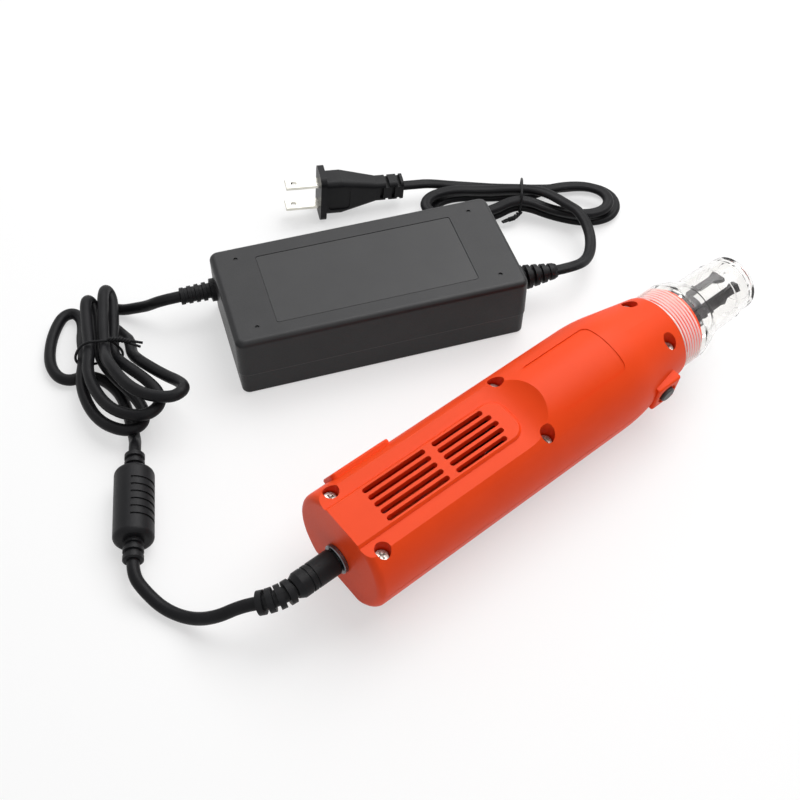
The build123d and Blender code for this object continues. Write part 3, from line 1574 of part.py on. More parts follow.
with BuildPart() as adapter_bottom_cover:
    with BuildSketch(adapter):
        RectangleRounded(
            adapter_length - 2 * adapter_draft,
            adapter_width - 2 * adapter_draft,
            adapter_corner - adapter_draft,
        )
    with BuildSketch(adapter.offset(adapter_split)):
        RectangleRounded(
            adapter_length - 2 * adapter_seam,
            adapter_width - 2 * adapter_seam,
            adapter_corner - adapter_seam,
        )
    loft()
    fillet(adapter_bottom_cover.faces().sort_by(Axis.Z)[0].edges(), 1.2)
    with BuildSketch(adapter.offset(adapter_wall)):
        RectangleRounded(
            cavity_length - 2 * adapter_draft,
            cavity_width - 2 * adapter_draft,
            adapter_corner - adapter_wall,
        )
    extrude(amount=adapter_split, mode=Mode.SUBTRACT)
    # pillars under the board
    with BuildSketch(adapter.offset(adapter_wall)):
        with GridLocations(cavity_length - 16, cavity_width - 16, 2, 2):
            Circle(3)
    extrude(amount=board_height - adapter_wall)
adapter_bottom_cover.part.label = "adapter_bottom_cover"
export_step(adapter_bottom_cover.part, "parts/adapter_bottom_cover.step")

with BuildPart() as adapter_label:
    with BuildSketch(adapter.offset(adapter_height - label_depth)):
        with Locations(label_shift):
            RectangleRounded(label_length - 0.6, label_width - 0.6, 1.0)
    extrude(amount=label_thickness)
adapter_label.part.label = "adapter_label"
export_step(adapter_label.part, "parts/adapter_label.step")

board_top = board_height + board_thickness
board_inset = 2 * (adapter_draft + board_margin)
with BuildPart() as adapter_board:
    with BuildSketch(adapter.offset(board_height)):
        Rectangle(cavity_length - board_inset, cavity_width - board_inset)
    extrude(amount=board_thickness)
adapter_board.part.label = "adapter_board"
export_step(adapter_board.part, "parts/adapter_board.step")

with BuildPart() as adapter_transformer:
    with BuildSketch(adapter.offset(board_top)):
        with Locations((core_block_x, 0)):
            Rectangle(core_block[0], core_block[1])
    extrude(amount=core_block[2])
    with BuildSketch(adapter.offset(board_top + core_block[2] / 4)):
        with Locations((core_block_x, 0)):
            Rectangle(core_block[0] * 0.6, core_block[1] + 7)
    extrude(amount=core_block[2] / 2)
adapter_transformer.part.label = "adapter_transformer"
export_step(adapter_transformer.part, "parts/adapter_transformer.step")

with BuildPart() as adapter_capacitors:
    with BuildSketch(adapter.offset(board_top)):
        with Locations((34, 11), (34, -11), (-44, -12)):
            Circle(capacitor_diameter / 2)
    extrude(amount=capacitor_length)
    fillet(adapter_capacitors.faces().sort_by(Axis.Z)[-3:].edges(), 0.8)
adapter_capacitors.part.label = "adapter_capacitors"
export_step(adapter_capacitors.part, "parts/adapter_capacitors.step")

with BuildPart() as adapter_heat_sinks:
    with BuildSketch(adapter.offset(board_top)):
        with Locations((-22, cavity_width / 2 - 8), (-22, -cavity_width / 2 + 8)):
            Rectangle(sink_length, sink_thickness)
    extrude(amount=sink_height)
adapter_heat_sinks.part.label = "adapter_heat_sinks"
export_step(adapter_heat_sinks.part, "parts/adapter_heat_sinks.step")

# Strain reliefs on the adapter's ends
dc_relief_side = Plane(
    origin=adapter.from_local_coords((-adapter_length / 2, dc_relief_y, relief_height)),
    x_dir=-relief_dir,
    z_dir=Vector(0, 0, 1).cross(relief_dir),
)
dc_relief_axis = Axis(dc_relief_side.origin, -relief_dir)
rib_step = (dc_relief_length - 2.4) / dc_relief_ribs
relief_points = [
    (-adapter_wall, 0),
    (-adapter_wall, relief_hole / 2),
    (0, relief_hole / 2),
    (0, dc_relief_flange / 2),
    (2.0, dc_relief_flange / 2),
]
for count in range(dc_relief_ribs):
    rib_start = 2.4 + count * rib_step
    rib_top = 4.3 - 0.12 * count
    relief_points += [
        (rib_start, 3.5),
        (rib_start + rib_step * 0.4, 3.5),
        (rib_start + rib_step * 0.45, rib_top),
        (rib_start + rib_step * 0.95, rib_top),
    ]
relief_points += [(dc_relief_length, 3.6), (dc_relief_length, 0)]
with BuildPart() as dc_relief:
    with BuildSketch(dc_relief_side):
        Polygon(*relief_points, align=None)
    revolve(axis=dc_relief_axis)
dc_relief.part.label = "dc_relief"
export_step(dc_relief.part, "parts/dc_relief.step")

ac_relief_side = Plane(
    origin=adapter.from_local_coords((adapter_length / 2, ac_relief_y, relief_height)),
    x_dir=relief_dir,
    z_dir=relief_dir.cross(Vector(0, 0, 1)),
)
ac_relief_axis = Axis(ac_relief_side.origin, relief_dir)
rib_step = (ac_relief_length - 2.0) / ac_relief_ribs
cone_points = [(-adapter_wall, 0), (-adapter_wall, relief_hole / 2), (0, relief_hole / 2), (0, 3.6)]
for count in range(ac_relief_ribs):
    rib_start = 0.6 + count * rib_step
    rib_top = (ac_relief_root + (ac_relief_end - ac_relief_root) * count / (ac_relief_ribs - 1)) / 2
    cone_points += [
        (rib_start, 3.4),
        (rib_start + rib_step * 0.35, 3.4),
        (rib_start + rib_step * 0.45, rib_top),
        (rib_start + rib_step * 0.95, rib_top - 0.15),
    ]
cone_points += [(ac_relief_length, 3.2), (ac_relief_length, 0)]
with BuildPart() as ac_relief:
    with BuildSketch(ac_relief_side):
        Polygon(*cone_points, align=None)
    revolve(axis=ac_relief_axis)
ac_relief.part.label = "ac_relief"
export_step(ac_relief.part, "parts/ac_relief.step")

# Mains plug, standing on its narrow edge
mains_turn = radians(mains_heading)
mains_dip = radians(mains_tilt)
mains_dir = Vector(cos(mains_turn) * cos(mains_dip), sin(mains_turn) * cos(mains_dip), -sin(mains_dip))
mains_across = Vector(-sin(mains_turn), cos(mains_turn), 0)
mains_origin = Vector(*mains_face)


def mains(distance):
    """Plane square to the mains plug at a distance behind its blade side: local x across, local y up."""
    return Plane(origin=mains_origin + mains_dir * distance, x_dir=mains_across, z_dir=-mains_dir)


flange_back = mains_flange[2]
body_back = flange_back + mains_body_length
waist_back = body_back + mains_waist_length
relief_back = waist_back + mains_relief_length
with BuildPart() as mains_plug:
    with BuildSketch(mains(0)):
        RectangleRounded(mains_flange[0], mains_flange[1], 4.0)
    extrude(amount=-flange_back)
    with BuildSketch(mains(flange_back)):
        RectangleRounded(mains_body[0], mains_body[1], 3.0)
    extrude(amount=-mains_body_length * 0.45)
    with BuildSketch(mains(flange_back + mains_body_length * 0.45)):
        RectangleRounded(mains_body[0], mains_body[1], 3.0)
    with BuildSketch(mains(waist_back)):
        RectangleRounded(mains_waist[0], mains_waist[1], 3.0)
    loft()
    with BuildSketch(mains(waist_back)):
        RectangleRounded(mains_relief[0], mains_relief[1], 2.4)
    extrude(amount=-mains_relief_length)
    # slots that let the relief bend, in turn on the broad and the narrow sides
    for count in range(2):
        slot_at = waist_back + 2.2 + count * 5.8
        with BuildSketch(mains(slot_at)):
            with Locations((mains_relief[0] / 2, 0), (-mains_relief[0] / 2, 0)):
                Rectangle(mains_relief[0] - ac_cord - 0.9, mains_relief[1] * 0.6)
        extrude(amount=-1.7, mode=Mode.SUBTRACT)
        with BuildSketch(mains(slot_at + 2.9)):
            with Locations((0, mains_relief[1] / 2), (0, -mains_relief[1] / 2)):
                Rectangle(mains_relief[0] * 1.2, 4.4)
        extrude(amount=-1.7, mode=Mode.SUBTRACT)
    # hollow grips on the broad sides
    grip_start = flange_back + 1.0
    for way in (-1, 1):
        grip_plane = Plane(
            origin=mains_origin + mains_dir * (grip_start + 5.4) + mains_across * (way * mains_body[0] / 2),
            x_dir=mains_dir,
            z_dir=mains_across * way,
        )
        with BuildSketch(grip_plane):
            RectangleRounded(10.8, 13.0, 2.0)
        extrude(amount=-mains_grip_depth, mode=Mode.SUBTRACT)
mains_plug.part.label = "mains_plug"
export_step(mains_plug.part, "parts/mains_plug.step")

with BuildPart() as mains_blades:
    with BuildSketch(mains(0)):
        with Locations((0, blade_spacing / 2), (0, -blade_spacing / 2)):
            Rectangle(blade_width, blade_thickness)
    extrude(amount=blade_length)
    blade_ends = mains_blades.faces().sort_by(Axis(mains_origin, mains_dir))[:2]
    chamfer(blade_ends.edges().filter_by(Axis(mains_origin, mains_across)), 0.4)
    blade_up = mains_across.cross(mains_dir)
    hole_mid = mains_origin - mains_dir * (blade_length - blade_hole_from_tip)
    hole_plane = Plane(origin=hole_mid, x_dir=mains_dir, z_dir=blade_up)
    with BuildSketch(hole_plane):
        Circle(blade_hole / 2)
    extrude(amount=blade_spacing, both=True, mode=Mode.SUBTRACT)
mains_blades.part.label = "mains_blades"
export_step(mains_blades.part, "parts/mains_blades.step")

# AC hank: two loops drawn in by a twist tie
ac_waist = (96.65, 118.2)
ac_hank_heading = -44.5
ac_hank_plane = Plane(
    origin=(ac_waist[0], ac_waist[1], 0),
    x_dir=(cos(radians(ac_hank_heading)), sin(radians(ac_hank_heading)), 0),
    z_dir=(0, 0, 1),
)
ac_low = ac_cord / 2 + 0.2
ac_rise = ac_cord + 0.7
a1, a2, a3 = ac_low, ac_low + ac_rise, ac_low + 2 * ac_rise
v1, v2 = a1 + tie_lift, a2 + tie_lift
ac_legs = ((8.1, v1), (-5.4, v1), (2.4, v1), (-6.8, v2), (1.9, v2))
ac_turns = (
    (48.0, 0.4, 0.0, 14.0, a1, a1, a1),
    (44.8, -11.1, 0.0, 9.9, a1, a1, a1),
    (44.0, 0.9, 0.0, 11.2, a2, a2, a2),
    (48.7, -11.3, 0.0, 10.5, a2, a2, a2),
)
mains_cord_start = mains_origin + mains_dir * relief_back
mains_cord_run = 7.0
ac_hank_entry = ((-36.0, 8.4, 4.5), (-24.0, 10.1, a1 + 0.3), (-13.0, 9.6, a1 + 0.5))
ac_hank_exit = ((13.0, -3.7, a3 - 0.3), (23.0, -12.7, a3 + 0.2))
ac_hank_points = [plain(mains_cord_start + mains_dir * mains_cord_run)]
ac_hank_points += [plain(mains_cord_start + mains_dir * (mains_cord_run * 2))]
ac_hank_points += [plain(ac_hank_plane.from_local_coords(point)) for point in ac_hank_entry]
ac_hank_points += hank_points(ac_hank_plane, 1, ac_legs, ac_turns)
ac_hank_points += [plain(ac_hank_plane.from_local_coords(point)) for point in ac_hank_exit]
with BuildPart() as ac_cord_hank:
    with BuildLine() as ac_hank_line:
        FilletPolyline(*ac_hank_points, radius=corner_radii(ac_hank_points))
    with BuildSketch(Plane(origin=ac_hank_points[0], z_dir=ac_hank_line.wire() % 0)):
        Circle(ac_cord / 2)
    sweep(path=ac_hank_line.wire())
ac_cord_hank.part.label = "ac_cord_hank"
export_step(ac_cord_hank.part, "parts/ac_cord_hank.step")

ac_plug_points = [plain(mains_cord_start), ac_hank_points[0]]
with BuildPart() as ac_cord_plug_end:
    with BuildSketch(Plane(origin=ac_plug_points[0], z_dir=mains_dir)):
        Circle(ac_cord / 2)
    extrude(amount=mains_cord_run)
ac_cord_plug_end.part.label = "ac_cord_plug_end"
export_step(ac_cord_plug_end.part, "parts/ac_cord_plug_end.step")

ac_relief_tip = ac_relief_side.origin + relief_dir * ac_relief_length
ac_exit_run = (Vector(*ac_hank_points[-1]) - Vector(*ac_hank_points[-2])).normalized()
ac_adapter_points = [
    ac_hank_points[-1],
    plain(Vector(*ac_hank_points[-1]) + ac_exit_run * 7),
    (101.75, 76.0, 10.0),
    (94.25, 67.6, 8.6),
    (84.35, 61.6, 11.2),
    plain(ac_relief_tip + relief_dir * 9),
    plain(ac_relief_tip),
]
with BuildPart() as ac_cord_adapter_end:
    with BuildLine() as ac_adapter_line:
        FilletPolyline(*ac_adapter_points, radius=corner_radii(ac_adapter_points))
    with BuildSketch(Plane(origin=ac_adapter_points[0], z_dir=ac_adapter_line.wire() % 0)):
        Circle(ac_cord / 2)
    sweep(path=ac_adapter_line.wire())
ac_cord_adapter_end.part.label = "ac_cord_adapter_end"
export_step(ac_cord_adapter_end.part, "parts/ac_cord_adapter_end.step")


def tie_loop(hank_plane, legs, cord):
    """Closed line of a tie drawn round the legs of a hank."""
    across_legs = Plane(
        origin=hank_plane.origin,
        x_dir=hank_plane.y_dir,
        z_dir=hank_plane.y_dir.cross(Vector(0, 0, 1)),
    )
    with BuildSketch(across_legs) as drawn:
        with BuildLine():
            Polyline(*legs)
        make_hull()
        offset(amount=cord / 2 + tie_gap + tie_wire / 2)
    return drawn.sketch.face().outer_wire()


# Twist ties, each a loop of wire and the twist that closes it
dc_tie_line = tie_loop(dc_hank_plane, dc_tied_legs, dc_cord)
dc_twist = ((0.0, -4.0, 17.9), (2.5, -9.5, 18.4), (1.0, -14.5, 17.4), (-4.0, -18.0, 18.2))
dc_twist_points = [plain(dc_hank_plane.from_local_coords(point)) for point in dc_twist]
with BuildPart() as dc_twist_tie:
    with BuildSketch(Plane(origin=dc_tie_line @ 0, z_dir=dc_tie_line % 0)):
        Circle(tie_wire / 2)
    sweep(path=dc_tie_line)
    with BuildLine() as dc_twist_line:
        FilletPolyline(*dc_twist_points, radius=corner_radii(dc_twist_points))
    with BuildSketch(Plane(origin=dc_twist_points[0], z_dir=dc_twist_line.wire() % 0)):
        Circle(tie_twist / 2)
    sweep(path=dc_twist_line.wire())
dc_twist_tie.part.label = "dc_twist_tie"
export_step(dc_twist_tie.part, "parts/dc_twist_tie.step")

ac_tie_line = tie_loop(ac_hank_plane, ac_legs, ac_cord)
ac_twist = ((0.0, -8.5, 3.9), (-3.0, -14.0, 4.6), (-8.0, -15.5, 3.4))
ac_twist_points = [plain(ac_hank_plane.from_local_coords(point)) for point in ac_twist]
with BuildPart() as ac_twist_tie:
    with BuildSketch(Plane(origin=ac_tie_line @ 0, z_dir=ac_tie_line % 0)):
        Circle(tie_wire / 2)
    sweep(path=ac_tie_line)
    with BuildLine() as ac_twist_line:
        FilletPolyline(*ac_twist_points, radius=corner_radii(ac_twist_points))
    with BuildSketch(Plane(origin=ac_twist_points[0], z_dir=ac_twist_line.wire() % 0)):
        Circle(tie_twist / 2)
    sweep(path=ac_twist_line.wire())
ac_twist_tie.part.label = "ac_twist_tie"
export_step(ac_twist_tie.part, "parts/ac_twist_tie.step")

# Measures of the leads
for title, points, line, size in (
    ("dc tool end", dc_tool_points, dc_tool_line, dc_cord),
    ("dc hank", dc_hank_points, dc_hank_line, dc_cord),
    ("dc adapter end", dc_adapter_points, dc_adapter_line, dc_cord),
    ("ac hank", ac_hank_points, ac_hank_line, ac_cord),
    ("ac adapter end", ac_adapter_points, ac_adapter_line, ac_cord),
):
    radii = [round(value, 1) for value in corner_radii(points)]
    print(title, "length", round(line.wire().length, 1), "least radius", min(radii), "radii", radii)
print("ac plug end length", mains_cord_run)
for title, line, size in (("dc hank", dc_hank_line, dc_cord), ("ac hank", ac_hank_line, ac_cord)):
    print(title, "least gap to itself", round(least_gap(line.wire(), size), 2))
for title, lead, line, size in (
    ("dc tool end", dc_cord_tool_end, dc_tool_line, dc_cord),
    ("dc hank", dc_cord_hank, dc_hank_line, dc_cord),
    ("dc adapter end", dc_cord_adapter_end, dc_adapter_line, dc_cord),
    ("ac hank", ac_cord_hank, ac_hank_line, ac_cord),
    ("ac adapter end", ac_cord_adapter_end, ac_adapter_line, ac_cord),
):
    tube = pi * size * size / 4 * line.wire().length
    print(title, "volume over section times length", round(lead.part.volume / tube, 3))
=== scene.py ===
"""Looks of the wire stripper, its adapter and leads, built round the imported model.

Places and sizes of the part are in millimetres, as in its source, and MM turns them into Blender's metres.
"""

from math import cos, radians, sin

import bmesh
import bpy
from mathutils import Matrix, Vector


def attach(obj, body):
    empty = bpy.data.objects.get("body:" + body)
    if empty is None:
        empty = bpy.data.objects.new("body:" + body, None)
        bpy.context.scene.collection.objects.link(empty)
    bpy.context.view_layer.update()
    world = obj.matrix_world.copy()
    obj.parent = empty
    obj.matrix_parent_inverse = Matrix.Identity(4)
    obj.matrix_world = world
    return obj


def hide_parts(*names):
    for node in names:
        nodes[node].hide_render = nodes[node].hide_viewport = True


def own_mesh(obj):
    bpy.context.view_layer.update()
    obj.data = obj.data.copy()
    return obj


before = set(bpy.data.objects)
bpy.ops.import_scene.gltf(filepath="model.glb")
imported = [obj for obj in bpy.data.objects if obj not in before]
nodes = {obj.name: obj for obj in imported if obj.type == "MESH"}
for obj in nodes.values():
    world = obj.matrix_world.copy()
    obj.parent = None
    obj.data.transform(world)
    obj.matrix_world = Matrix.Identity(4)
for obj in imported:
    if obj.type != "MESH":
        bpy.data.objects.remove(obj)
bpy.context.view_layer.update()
scene = bpy.context.scene
scene.view_settings.view_transform = "Standard"
MM = 0.001

# The tool's place in the frame
TOOL_REAR = -111.35  # rear face of the housing
AXIS_Y = 0.7
AXIS_HEIGHT = 24.75
roll = radians(8.0)
left_dir = Vector((0, cos(roll), sin(roll)))


# Shader nodes

NOISE_LOW = 0.3  # what noise seldom falls below
NOISE_HIGH = 0.7
GRAIN_DEPTH = 0.00012


def node_of(tree, kind, **values):
    """Adds a shader node and sets its properties."""
    made = tree.nodes.new(kind)
    for key, value in values.items():
        setattr(made, key, value)
    return made


def math_of(tree, operation, *values):
    """Result of one Math node whose inputs are sockets or numbers."""
    made = node_of(tree, "ShaderNodeMath", operation=operation)
    for socket, value in zip(made.inputs, values):
        if isinstance(value, (int, float)):
            socket.default_value = value
        else:
            tree.links.new(value, socket)
    return made.outputs[0]


def own_place(tree):
    """X, Y and Z of a point in its object's own coordinates, in metres."""
    made = node_of(tree, "ShaderNodeSeparateXYZ")
    tree.links.new(node_of(tree, "ShaderNodeTexCoord").outputs["Object"], made.inputs[0])
    return made.outputs["X"], made.outputs["Y"], made.outputs["Z"]


def noise(tree, coords, scale, stretch, detail, rough):
    """Noise on the object's own coordinates, in features per metre, drawn out by stretch if given."""
    if stretch:
        mapping = node_of(tree, "ShaderNodeMapping")
        mapping.inputs["Scale"].default_value = stretch
        tree.links.new(coords, mapping.inputs["Vector"])
        coords = mapping.outputs["Vector"]
    made = node_of(tree, "ShaderNodeTexNoise")
    made.inputs["Scale"].default_value = scale
    made.inputs["Detail"].default_value = detail
    made.inputs["Roughness"].default_value = rough
    tree.links.new(coords, made.inputs["Vector"])
    return made.outputs["Fac"]


def spread(tree, value, low, high):
    """Maps a noise value to a range."""
    made = node_of(tree, "ShaderNodeMapRange")
    made.inputs["From Min"].default_value = NOISE_LOW
    made.inputs["From Max"].default_value = NOISE_HIGH
    made.inputs["To Min"].default_value = low
    made.inputs["To Max"].default_value = high
    tree.links.new(value, made.inputs["Value"])
    return made.outputs["Result"]


def mix_surface(tree, factor, other):
    """Mixes the material's own shader with another one by a factor."""
    mix = node_of(tree, "ShaderNodeMixShader")
    tree.links.new(factor, mix.inputs["Fac"])
    tree.links.new(tree.nodes["Principled BSDF"].outputs["BSDF"], mix.inputs[1])
    tree.links.new(other, mix.inputs[2])
    tree.links.new(mix.outputs["Shader"], tree.nodes["Material Output"].inputs["Surface"])


# Materials

def material(name, dark, light, rough, metal=0.0, tone_scale=60.0, grain=1800.0, bump=0.12, stretch=None,
             **sockets):
    """Principled material: colour and roughness drift slowly, and a fine grain gives the bump."""
    made = bpy.data.materials.new(name)
    made.use_nodes = True
    tree = made.node_tree
    shader = tree.nodes["Principled BSDF"]
    coords = node_of(tree, "ShaderNodeTexCoord").outputs["Object"]
    tone = noise(tree, coords, tone_scale, stretch, detail=4.0, rough=0.6)
    ramp = node_of(tree, "ShaderNodeMix", data_type="RGBA")
    ramp.inputs["A"].default_value = (*dark, 1.0)
    ramp.inputs["B"].default_value = (*light, 1.0)
    tree.links.new(spread(tree, tone, 0.0, 1.0), ramp.inputs["Factor"])
    tree.links.new(ramp.outputs["Result"], shader.inputs["Base Color"])
    fine = noise(tree, coords, grain, stretch, detail=2.0, rough=0.5)
    tree.links.new(spread(tree, fine, rough[0], rough[1]), shader.inputs["Roughness"])
    relief = node_of(tree, "ShaderNodeBump")
    relief.inputs["Strength"].default_value = bump
    relief.inputs["Distance"].default_value = GRAIN_DEPTH
    tree.links.new(fine, relief.inputs["Height"])
    tree.links.new(relief.outputs["Normal"], shader.inputs["Normal"])
    shader.inputs["Metallic"].default_value = metal
    for key, value in sockets.items():
        shader.inputs[key.replace("_", " ")].default_value = value
    return made


DEEP_BLACK = ((0.006, 0.006, 0.007), (0.011, 0.011, 0.012))

# Plastics and rubber
shell = material("shell_plastic", (0.74, 0.052, 0.005), (0.80, 0.060, 0.007), (0.38, 0.48),
                 tone_scale=25.0, grain=2600.0, bump=0.10, Specular_IOR_Level=0.14)
black_shell = material("adapter_plastic", *DEEP_BLACK, (0.36, 0.50),
                       grain=1500.0, bump=0.25, Specular_IOR_Level=0.3)
cord_skin = material("cord_vinyl", *DEEP_BLACK, (0.34, 0.46),
                     grain=900.0, bump=0.06, Specular_IOR_Level=0.10)
moulded = material("moulded_vinyl", *DEEP_BLACK, (0.36, 0.48), grain=1600.0, Specular_IOR_Level=0.14)
black_plain = material("black_plastic", (0.010, 0.010, 0.012), (0.020, 0.020, 0.022), (0.35, 0.5))
button_skin = material("button_plastic", (0.012, 0.012, 0.013), (0.020, 0.020, 0.021), (0.38, 0.5),
                       grain=2200.0)
label_skin = material("label_film", (0.008, 0.008, 0.009), (0.012, 0.012, 0.013), (0.30, 0.36),
                      grain=3200.0, bump=0.04, Specular_IOR_Level=0.32)
tie_skin = material("tie_vinyl", (0.007, 0.007, 0.008), (0.012, 0.012, 0.013), (0.32, 0.45),
                    grain=1400.0, Specular_IOR_Level=0.10)
seal_milky = material("seal_silicone", (0.72, 0.62, 0.58), (0.82, 0.74, 0.70), (0.30, 0.42),
                      tone_scale=120.0, grain=1500.0, bump=0.05, Transmission_Weight=0.5, IOR=1.41)
wire_red = material("wire_red", (0.30, 0.012, 0.010), (0.38, 0.018, 0.014), (0.3, 0.42))
board_green = material("board_green", (0.015, 0.10, 0.045), (0.02, 0.13, 0.06), (0.3, 0.42),
                       tone_scale=150.0, grain=1200.0)
can_blue = material("capacitor_sleeve", (0.02, 0.03, 0.09), (0.03, 0.04, 0.12), (0.2, 0.32))
clear = material("clear_cap", (0.925, 0.918, 0.905), (0.950, 0.944, 0.932), (0.02, 0.06),
                 tone_scale=40.0, grain=500.0, bump=0.02, Transmission_Weight=1.0, IOR=1.19)

# Metals, magnets and carbon
# Nickel darkened as painted shade, for the socket's nut
shaded_nickel = material("nickel_painted_shade", (0.10, 0.10, 0.11), (0.20, 0.20, 0.21), (0.22, 0.36),
                    metal=1.0, tone_scale=260.0, grain=2200.0, bump=0.1)
screw_steel = material("screw_steel", (0.42, 0.40, 0.37), (0.62, 0.60, 0.56), (0.24, 0.40),
                       metal=1.0, tone_scale=300.0, grain=2500.0)
bright_steel = material("bright_steel", (0.52, 0.52, 0.53), (0.68, 0.68, 0.69), (0.18, 0.30),
                        metal=1.0, tone_scale=200.0, grain=3000.0, bump=0.05)
nickel = material("nickel_plate", (0.58, 0.565, 0.51), (0.70, 0.68, 0.62), (0.14, 0.26),
                  metal=1.0, tone_scale=250.0, grain=2200.0, bump=0.05)
blade_black = material("blackened_steel", (0.030, 0.029, 0.031), (0.075, 0.072, 0.074), (0.30, 0.48),
                       metal=0.85, tone_scale=240.0, bump=0.2)
zinc = material("zinc_steel", (0.48, 0.49, 0.50), (0.62, 0.62, 0.63), (0.28, 0.42),
                metal=1.0, tone_scale=180.0, grain=1500.0)
core_steel = material("core_steel", (0.20, 0.20, 0.21), (0.30, 0.30, 0.31), (0.3, 0.45),
                      metal=1.0, tone_scale=400.0, grain=1500.0, stretch=(8.0, 1.0, 1.0))
brass = material("brass", (0.52, 0.36, 0.12), (0.66, 0.48, 0.18), (0.22, 0.36),
                 metal=1.0, tone_scale=200.0, grain=2000.0)
copper = material("copper_wire", (0.42, 0.16, 0.07), (0.60, 0.25, 0.11), (0.25, 0.40),
                  metal=1.0, tone_scale=160.0, bump=0.3)
bronze = material("bronze", (0.36, 0.24, 0.10), (0.46, 0.31, 0.14), (0.35, 0.5),
                  metal=1.0, tone_scale=200.0, grain=1600.0)
sink_alloy = material("sink_alloy", (0.55, 0.55, 0.56), (0.68, 0.68, 0.69), (0.3, 0.45),
                      metal=1.0, tone_scale=200.0, grain=1500.0, stretch=(1.0, 1.0, 10.0))
magnet = material("ferrite_grey", (0.040, 0.040, 0.044), (0.075, 0.075, 0.080), (0.55, 0.75),
                  tone_scale=220.0, grain=1200.0, bump=0.3)
carbon = material("carbon", (0.020, 0.020, 0.021), (0.035, 0.035, 0.036), (0.5, 0.7))

# The clear cap: lamps shine straight through it, and the flanks of the thread in its collar carry painted
# highlights, as whiter, less clear bands
THREAD_START = 61.85  # rear end of the thread in the frame
THREAD_PITCH = 1.5
THREAD_TURNS = 7
THREAD_REACH = 17.9  # radius that the thread stays inside, and the collar's outer face doesn't
FLANK_SHARE = 0.45  # of the pitch
FLANK_HIGHLIGHT = 0.55


def paint_thread_highlights(look):
    """Paints highlights on the flanks of the cap's thread by making a clear material less clear there."""
    tree = look.node_tree
    along, across, upward = own_place(tree)
    turn = math_of(tree, "DIVIDE", math_of(tree, "SUBTRACT", along, THREAD_START * MM), THREAD_PITCH * MM)
    flank = math_of(tree, "LESS_THAN", math_of(tree, "FRACT", turn), FLANK_SHARE)
    begun = math_of(tree, "GREATER_THAN", turn, 0)
    going = math_of(tree, "LESS_THAN", turn, THREAD_TURNS)
    side = math_of(tree, "POWER", math_of(tree, "SUBTRACT", across, AXIS_Y * MM), 2)
    rise = math_of(tree, "POWER", math_of(tree, "SUBTRACT", upward, AXIS_HEIGHT * MM), 2)
    inner = math_of(tree, "LESS_THAN", math_of(tree, "ADD", side, rise), (THREAD_REACH * MM) ** 2)
    highlight_share = FLANK_HIGHLIGHT
    for part in (flank, begun, going, inner):
        highlight_share = math_of(tree, "MULTIPLY", part, highlight_share)
    clarity = math_of(tree, "SUBTRACT", 1, highlight_share)
    tree.links.new(clarity, tree.nodes["Principled BSDF"].inputs["Transmission Weight"])


lamp_rays = node_of(clear.node_tree, "ShaderNodeLightPath").outputs["Is Shadow Ray"]
mix_surface(clear.node_tree, lamp_rays, node_of(clear.node_tree, "ShaderNodeBsdfTransparent").outputs["BSDF"])
# Painted highlights on the thread's flanks
paint_thread_highlights(clear)

# The covers of the adapter get a painted highlight, a thin paler band, where they meet
SEAM_HEIGHT = 12.0
SEAM_HALF = 0.28
SEAM_HIGHLIGHT_TONE = (0.040, 0.040, 0.042, 1.0)


def paint_seam_highlight(look):
    """Paints a highlight: makes a material paler in a thin band at the height of the adapter's seam."""
    tree = look.node_tree
    base = tree.nodes["Principled BSDF"].inputs["Base Color"]
    painted_highlight = node_of(tree, "ShaderNodeMix", data_type="RGBA")
    painted_highlight.inputs["B"].default_value = SEAM_HIGHLIGHT_TONE
    tree.links.new(base.links[0].from_socket, painted_highlight.inputs["A"])
    band = math_of(tree, "COMPARE", own_place(tree)[2], SEAM_HEIGHT * MM, SEAM_HALF * MM)
    tree.links.new(band, painted_highlight.inputs["Factor"])
    tree.links.new(painted_highlight.outputs["Result"], base)


# Painted highlight along the adapter's seam
paint_seam_highlight(black_shell)

looks = {
    shell: ["housing_upper", "housing_lower"],
    screw_steel: ["housing_screws", "spindle_grub_screw"],
    black_plain: ["dc_socket", "motor_end_bell", "cooling_fan", "switch_body", "button_dome"],
    shaded_nickel: ["dc_socket_nut"],
    nickel: ["dc_socket_pin", "dc_plug_barrel", "mains_blades"],
    zinc: ["motor_can"],
    magnet: ["motor_magnets", "ferrite_core", "adapter_transformer"],
    brass: ["motor_terminals", "switch_terminals"],
    carbon: ["motor_brushes"],
    bronze: ["motor_bushes"],
    core_steel: ["armature_core"],
    copper: ["armature_windings", "commutator"],
    bright_steel: ["motor_shaft", "spindle", "bearing_outer_race", "bearing_inner_race", "bearing_balls",
                   "blade_pins"],
    blade_black: ["blade_head", "blade_arm_1", "blade_arm_2", "blade_arm_3"],
    clear: ["nose_cap"],
    seal_milky: ["cap_seal_ring"],
    button_skin: ["button"],
    wire_red: ["lead_wires"],
    moulded: ["dc_plug", "ferrite_moulding", "dc_relief", "ac_relief", "mains_plug"],
    black_shell: ["adapter_top_cover", "adapter_bottom_cover"],
    label_skin: ["adapter_label"],
    board_green: ["adapter_board"],
    can_blue: ["adapter_capacitors"],
    sink_alloy: ["adapter_heat_sinks"],
}
for look, names in looks.items():
    for name in names:
        mesh = nodes[name].data
        mesh.materials.clear()
        mesh.materials.append(look)


# Leads

